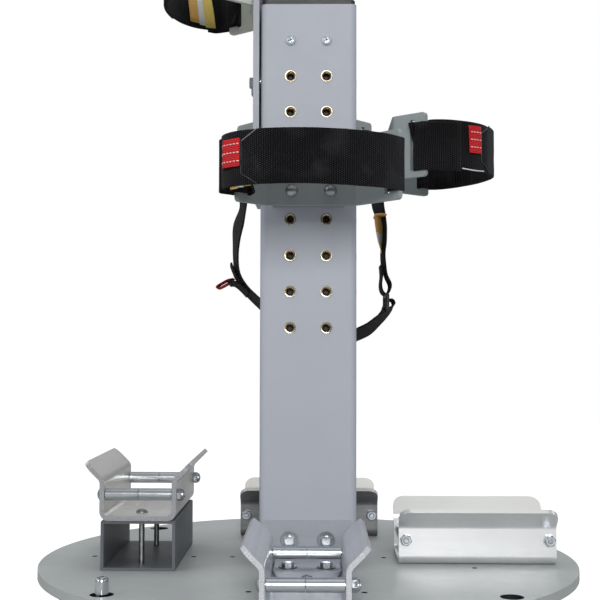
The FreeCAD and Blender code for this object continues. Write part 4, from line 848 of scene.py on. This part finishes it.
def over_piece(side, free_x):
    """The webbing that comes from the long wing and runs on top to its chamfered end."""
    outer = offset_plan(plan_line(side), -HALF_LAYER)
    keep = [p for p in outer[1:-1] if p.x > free_x + 6]
    before = [p for p in outer if p.x <= free_x + 6][-1]
    end = keep[0].lerp(before, (keep[0].x - free_x) / (keep[0].x - before.x))
    tail = offset_plan([keep[-2], keep[-1]], LAYER)
    points = route(side, wrap(1, tail) + keep[::-1] + [end])
    strip(f"{side}_strap_over", points, UP, WEB_WIDTH, LAYER, WEB, (CUT_WIDTH, CUT_LONG),
          wave=0.35, seed=len(side) + 5)
    # the heat-cut line along the chamfered end
    line = smooth_path(points, 1.0)
    run = lengths(line)
    half, full = CUT_WIDTH / 2, WEB_WIDTH / 2
    upper, lower = [], []
    for s, h in ((CUT_LONG, full), (CUT_LONG / 2, (half + full) / 2), (0.3, half)):
        i = nearest(run, run[-1] - s)
        face = (line[i] - line[i - 1]).normalized().cross(UP).normalized() * (HALF_LAYER * 0.75)
        if face.dot(Vector((line[i].x, line[i].y, 0))) < 0:
            face = -face
        upper.append(line[i] + face + UP * h)
        lower.append(line[i] + face - UP * h)
    # painted light: the front strap's upper cut edge uses the lit copy, all other cut edges the
    # shaded one
    thread(f"{side}_cut_top", upper, 0.55, WEB_EDGE_LIT if side == "front" else EDGE_DARK)
    thread(f"{side}_cut_end", [upper[-1], (upper[-1] + lower[-1]) / 2, lower[-1]], 0.45,
           EDGE_DARK)
    thread(f"{side}_cut_low", lower, 0.4, EDGE_DARK)


for side, free_x, stop_x in (("front", -63, 40), ("right", -50, 60), ("left", -46, 50)):
    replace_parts(under_piece(side, stop_x), "strap_" + side)
    over_piece(side, free_x)


def plan_between(side, low, high, offset, count=9):
    """Points on the strap's own line between two sideways distances, moved off its face."""
    line = smooth_path(offset_plan(plan_line(side), offset), 1.0)
    part = [p for p in line if low <= p.x <= high]
    return route(side, [part[round(i * (len(part) - 1) / (count - 1))] for i in range(count)])


def tab(side, low, high, rise, slant=0.0, wide=28.6):
    """A red grip tab with rows of white stitches."""
    points = plan_between(side, low, high, -HALF_LAYER - TAB_GAP)
    points = [p + UP * (rise + slant * (i / (len(points) - 1) - 0.5))
              for i, p in enumerate(points)]
    made = strip(f"{side}_tab", points, UP, wide, TAB_THICK, RED, wave=0.2, seed=9, step=1.0)
    verts, faces = [], []
    line = smooth_path(points, 0.5)
    run = lengths(line)
    for row in range(STITCH_ROWS):
        z = STITCH_ROW_STEP * (row - (STITCH_ROWS - 1) / 2)
        s = 3.0
        while s < run[-1] - 1.4:
            i = nearest(run, s)
            t = tangent(line, i)
            normal = t.cross(UP).normalized()
            for face in (TAB_THICK / 2 + 0.02, -TAB_THICK / 2 - 0.02):
                bead(verts, faces, line[i] + UP * z + normal * face, t, UP, normal)
            s += STITCH_STEP
    mesh_piece(f"{side}_tab_stitches", verts, faces, THREAD)
    return made


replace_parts(tab("front", -83, -64, 4.6, wide=26.0), "strap_tabs")
tab("right", -66.5, -55, 6.2, slant=0.6)

# ---------------------------------------------------------------- the rear strap

# It hangs open behind the column, a quarter turn out of the bracket's plane.
REAR_Y, REAR_LABEL_Y = 117.0, 104.0
REAR_WIDTH, REAR_THICK = 48.0, 2.1


def rear_end(sign):
    """The sewn end on a wing of the rear bracket, then out past its tip."""
    along, inside, bar = wing(sign)
    tip = bar + along * (OUTER_BAR / 2)
    tail = [tip + along * 16 + inside * 4.6, tip + along * 6 + inside * 4.2]
    plan = wrap(sign, tail) + [tip + along * 2 - inside * 1.5, tip + along * 6 + inside * 0.5]
    return route("rear", plan)


def loose(name, rows, width=46.0, thickness=2.0, material=WEB, y=REAR_Y, start=(), step=1.0,
          wave=0.2, seed=0):
    """A loose strip behind the column, after the points of start.

    Each row is x and z, then x and z of the direction across the strip."""
    points = list(start) + [Vector((row[0], y, DECK + row[1])) for row in rows]
    if start:
        points[len(start)].y = 112.0
    wide = [UP] * len(start) + [Vector((row[2], 0.96, row[3])) for row in rows]
    return strip(name, points, wide, width, thickness, material, wave=wave, seed=seed, step=step)


rear_long = loose("rear_strap_long", [
    (-88, 436, -0.30, 0.55), (-83, 417, -0.26, 0.15), (-79.7, 400, -0.22, 0.0),
    (-85.3, 376, -0.32, 0.0), (-88.2, 352, -0.22, 0.0), (-88.2, 328, -0.17, 0.0),
    (-84.5, 310, -0.16, -0.05), (-71, 291, -0.12, -0.14), (-40, 264, -0.1, -0.18),
    (0, 244, 0.0, -0.22), (38, 238, 0.06, -0.26), (66, 247, 0.12, -0.26),
    (84, 261, 0.12, -0.18), (97, 273, 0.08, -0.06), (101, 280, 0.0, 0.0),
    (98, 284.5, 0.0, 0.0), (92.5, 283, 0.0, 0.0), (89.5, 276, 0.0, 0.0), (84, 265, 0.05, -0.1),
], REAR_WIDTH, REAR_THICK, start=rear_end(1), step=2.0, wave=0.4, seed=3)
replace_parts(rear_long, "strap_rear")
loose("rear_strap_short", [
    (88, 436, -0.25, 0.5), (83.5, 417, -0.26, 0.1), (82.4, 400, -0.22, 0.0),
    (86, 385, -0.15, 0.0), (89, 371, -0.08, 0.0), (89.3, 355, -0.06, 0.0),
    (88.3, 340, -0.04, 0.0), (88.9, 329, -0.03, 0.0), (91.6, 314, 0.0, 0.0),
    (96.3, 303, 0.0, 0.0), (95.4, 295.8, 0.0, 0.0), (91.4, 290.6, 0.0, 0.0),
    (86.8, 294.5, 0.0, 0.0), (85.2, 302.3, 0.0, 0.0), (86.4, 314, 0.0, 0.0),
    (85.4, 326, 0.0, 0.0),
], REAR_WIDTH, REAR_THICK, start=rear_end(-1), step=1.5, wave=0.3, seed=4)
loose("rear_sewn_top", [(-94.5, 327, -0.1, 0), (-91.5, 319, -0.1, 0), (-87.5, 310, -0.1, 0),
                        (-81, 302, -0.1, -0.08)], seed=6)
loose("rear_sewn_end", [(-96.5, 303, -0.05, -0.05), (-90, 303.5, -0.05, -0.08),
                        (-82.5, 299, -0.08, -0.1), (-74, 291, -0.1, -0.12)], seed=7)
loose("rear_tab", [(-90.5, 309.5, 0, 0), (-97.5, 308, 0, 0), (-104.5, 304.2, 0, 0),
                   (-109.8, 300.8, 0, 0), (-110.8, 298.8, 0, 0), (-108.8, 297.8, 0, 0),
                   (-102.6, 300.6, 0, 0), (-95.6, 304.8, 0, 0)], 28.6, TAB_THICK, RED, seed=8)

# ---------------------------------------------------------------- labels

# Plain bands, with no print on them.
LABEL_WIDTH, LABEL_THICK, LABEL_FOLD = 38.0, 0.7, 2.2
LABEL_OFF, LABEL_DEEP = LAYER + 0.6, 0.6
for name, material, thickness, rows in (
        ("a", ORANGE, LABEL_THICK, [(83.2, 384, 0.36, 0), (83.4, 373.5, 0.33, 0),
                                    (83.6, 363.5, 0.27, 0)]),
        ("b", PALE, LABEL_THICK, [(83.6, 363.5, 0.27, 0), (84.2, 352.5, 0.18, 0)]),
        ("c", ORANGE, LABEL_THICK, [(84.2, 352.5, 0.18, 0), (84.8, 346, 0.1, 0),
                                    (85.2, 339.5, 0.02, 0)]),
        ("fold", ORANGE, LABEL_FOLD, [(77.2, 383.5, 0, 0), (84.0, 384.6, 0, 0),
                                      (91.0, 383.5, 0, 0)])):
    loose("rear_label_" + name, rows, LABEL_WIDTH, thickness, material, REAR_LABEL_Y)


def label(name, start, stop, low, high, material, skew=0.0):
    """A band of a label sewn on a strap's inner face, between two distances along its line.

    Its upper edge lies skew millimetres further along than its lower edge."""
    side = name.split("_")[0]
    columns, layers = 9, 7
    one_face = columns * layers
    points = []
    for depth in (LABEL_OFF, LABEL_OFF + LABEL_DEEP):
        line = smooth_path(offset_plan(plan_line(side), depth), 1.0)
        run = lengths(line)
        for j in range(layers):
            for i in range(columns):
                s = start + (stop - start) * i / (columns - 1) + skew * (j / (layers - 1) - 0.5)
                p = line[nearest(run, s)]
                points.append(on_bracket(side, p.x, p.y, low + (high - low) * j / (layers - 1)))
    faces = []
    for j in range(layers - 1):
        for i in range(columns - 1):
            a = j * columns + i
            b = a + one_face
            faces += [(a, a + 1, a + columns + 1, a + columns),
                      (b, b + columns, b + columns + 1, b + 1)]
    rim = (list(range(columns)) + [columns * (j + 1) - 1 for j in range(1, layers)]
           + list(range(one_face - 2, one_face - columns - 1, -1))
           + [columns * j for j in range(layers - 2, 0, -1)])
    faces += [(b, a, a + one_face, b + one_face) for a, b in zip(rim, rim[1:] + rim[:1])]
    uv = [(i * (stop - start) / (columns - 1), (high - low) * j / (layers - 1))
          for _ in (0, 1) for j in range(layers) for i in range(columns)]
    mesh_piece(name, [p * MM for p in points], faces, material, uv)


label("front_label_a", 38, 47.6, -27.6, -21, ORANGE)
label("front_label_b", 47.6, 54.5, -26.8, -20, PALE)
label("front_label_c", 54.5, 62.5, -26, -20, ORANGE)
label("left_label_a", 40, 54, -19.5, 22, ORANGE, 7.0)
label("left_label_b", 32, 40, -21.0, 22, PALE, 7.0)
label("left_label_c", 20, 32, -23.0, 22, YELLOW, 7.0)
# A pale thread bowed along the right strap's lower edge: a painted highlight where that edge
# catches the light.
rim = plan_between("right", -70, -50, -LAYER)
thread("right_low_rim_highlight", [p - UP * (WEB_WIDTH / 2 - 0.1 + 0.8 * math.sin(math.pi * i / 8))
                         for i, p in enumerate(rim)], 0.6, PALE)

# ---------------------------------------------------------------- camera and light

scene = bpy.context.scene
scene.view_settings.view_transform = "Standard"
scene.view_settings.look = "None"

PITCH, YAW, ROLL = 0.0444, -0.0156, 0.0024
CAMERA_AT = Vector((0.009665, -1.21972, 0.287315))
camera_data = bpy.data.cameras.new("camera")
camera_data.sensor_width = 36
camera_data.lens = 66.84
camera_data.shift_y = -1.69 / 600
camera_data.clip_start = 0.05
camera = bpy.data.objects.new("camera", camera_data)
scene.collection.objects.link(camera)
scene.camera = camera
forward = Vector((math.sin(YAW) * math.cos(PITCH), math.cos(YAW) * math.cos(PITCH),
                  math.sin(PITCH)))
level = Vector((math.cos(YAW), -math.sin(YAW), 0))
upright = level.cross(forward)
right = level * math.cos(ROLL) + upright * math.sin(ROLL)
up = upright * math.cos(ROLL) - level * math.sin(ROLL)
camera.matrix_world = Matrix.Translation(CAMERA_AT) @ Matrix(
    (right, up, -forward)).transposed().to_4x4()

# The world lights the object with soft bands, pale and dark, that the metal reflects.
WORLD_STRENGTH = 0.27
world = bpy.data.worlds.new("studio")
scene.world = world
world.use_nodes = True
sky = Tree(world.node_tree)
heading = sky.add("ShaderNodeSeparateXYZ",
                  {0: sky.add("ShaderNodeTexCoord").outputs["Generated"]}).outputs


def bands(axis, stops):
    """Greys along an axis, from -1 at stop 0 to 1 at stop 1."""
    where = sky.math("MULTIPLY_ADD", heading[axis], 0.5, 0.5)
    return sky.ramp(where, [(at, (grey * 0.95, grey * 0.97, grey)) for at, grey in stops])


by_height = bands(2, [(0.0, 0.20), (0.33, 0.24), (0.37, 2.0), (0.455, 2.0), (0.49, 0.35),
                      (0.57, 0.35), (0.65, 2.0), (0.74, 2.6), (0.84, 1.2), (0.94, 0.8),
                      (0.975, 2.4), (1.0, 2.4)])
by_side = bands(0, [(0.0, 1.4), (0.16, 1.4), (0.24, 0.25), (0.38, 0.25), (0.45, 1.3),
                    (0.57, 1.3), (0.64, 0.3), (0.78, 0.3), (0.86, 1.5), (1.0, 1.5)])
light = sky.add("ShaderNodeBackground",
                {0: sky.mix(1.0, by_height, by_side, "MULTIPLY"), 1: WORLD_STRENGTH})
white = sky.add("ShaderNodeBackground", {0: (1, 1, 1, 1), 1: 1.0})
sky.add("ShaderNodeOutputWorld",
        {0: sky.add("ShaderNodeMixShader", {0: sky.seen(), 1: light, 2: white})})


def lamp(name, at, target, size, power):
    data = bpy.data.lights.new(name, "AREA")
    data.shape = "RECTANGLE"
    data.size, data.size_y = size
    data.energy = power
    made = bpy.data.objects.new(name, data)
    made.location = at
    made.rotation_euler = (Vector(target) - Vector(at)).to_track_quat("-Z", "Y").to_euler()
    scene.collection.objects.link(made)
    return made


lamp("key", (0.25, -3.2, 1.15), (0, 0, 0.3), (1.0, 1.0), 48)
lamp("fill", (-1.4, -1.0, 1.0), (0, 0, 0.3), (0.8, 1.4), 4)
lamp("top", (0, 0.1, 2.2), (0, 0, 0), (1.4, 1.4), 17).visible_glossy = False

FLOOR_HALF, FLOOR_Z, FLOOR_GREY, FLOOR_GLOW = 3, -0.002, 0.42, 0.86
floor_mesh = bpy.data.meshes.new("studio_floor")
floor_mesh.from_pydata([(x * FLOOR_HALF, y * FLOOR_HALF, FLOOR_Z)
                        for x, y in ((-1, -1), (1, -1), (1, 1), (-1, 1))], [], [(0, 1, 2, 3)])
floor_object = bpy.data.objects.new("studio_floor", floor_mesh)
scene.collection.objects.link(floor_object)
ground = Surface("studio_white")
ground.set(Base_Color=(FLOOR_GREY,) * 3 + (1,), Roughness=0.8, Emission_Color=(1, 1, 1, 1),
           Emission_Strength=ground.math("MULTIPLY", ground.seen(), FLOOR_GLOW))
floor_mesh.materials.append(ground.material)
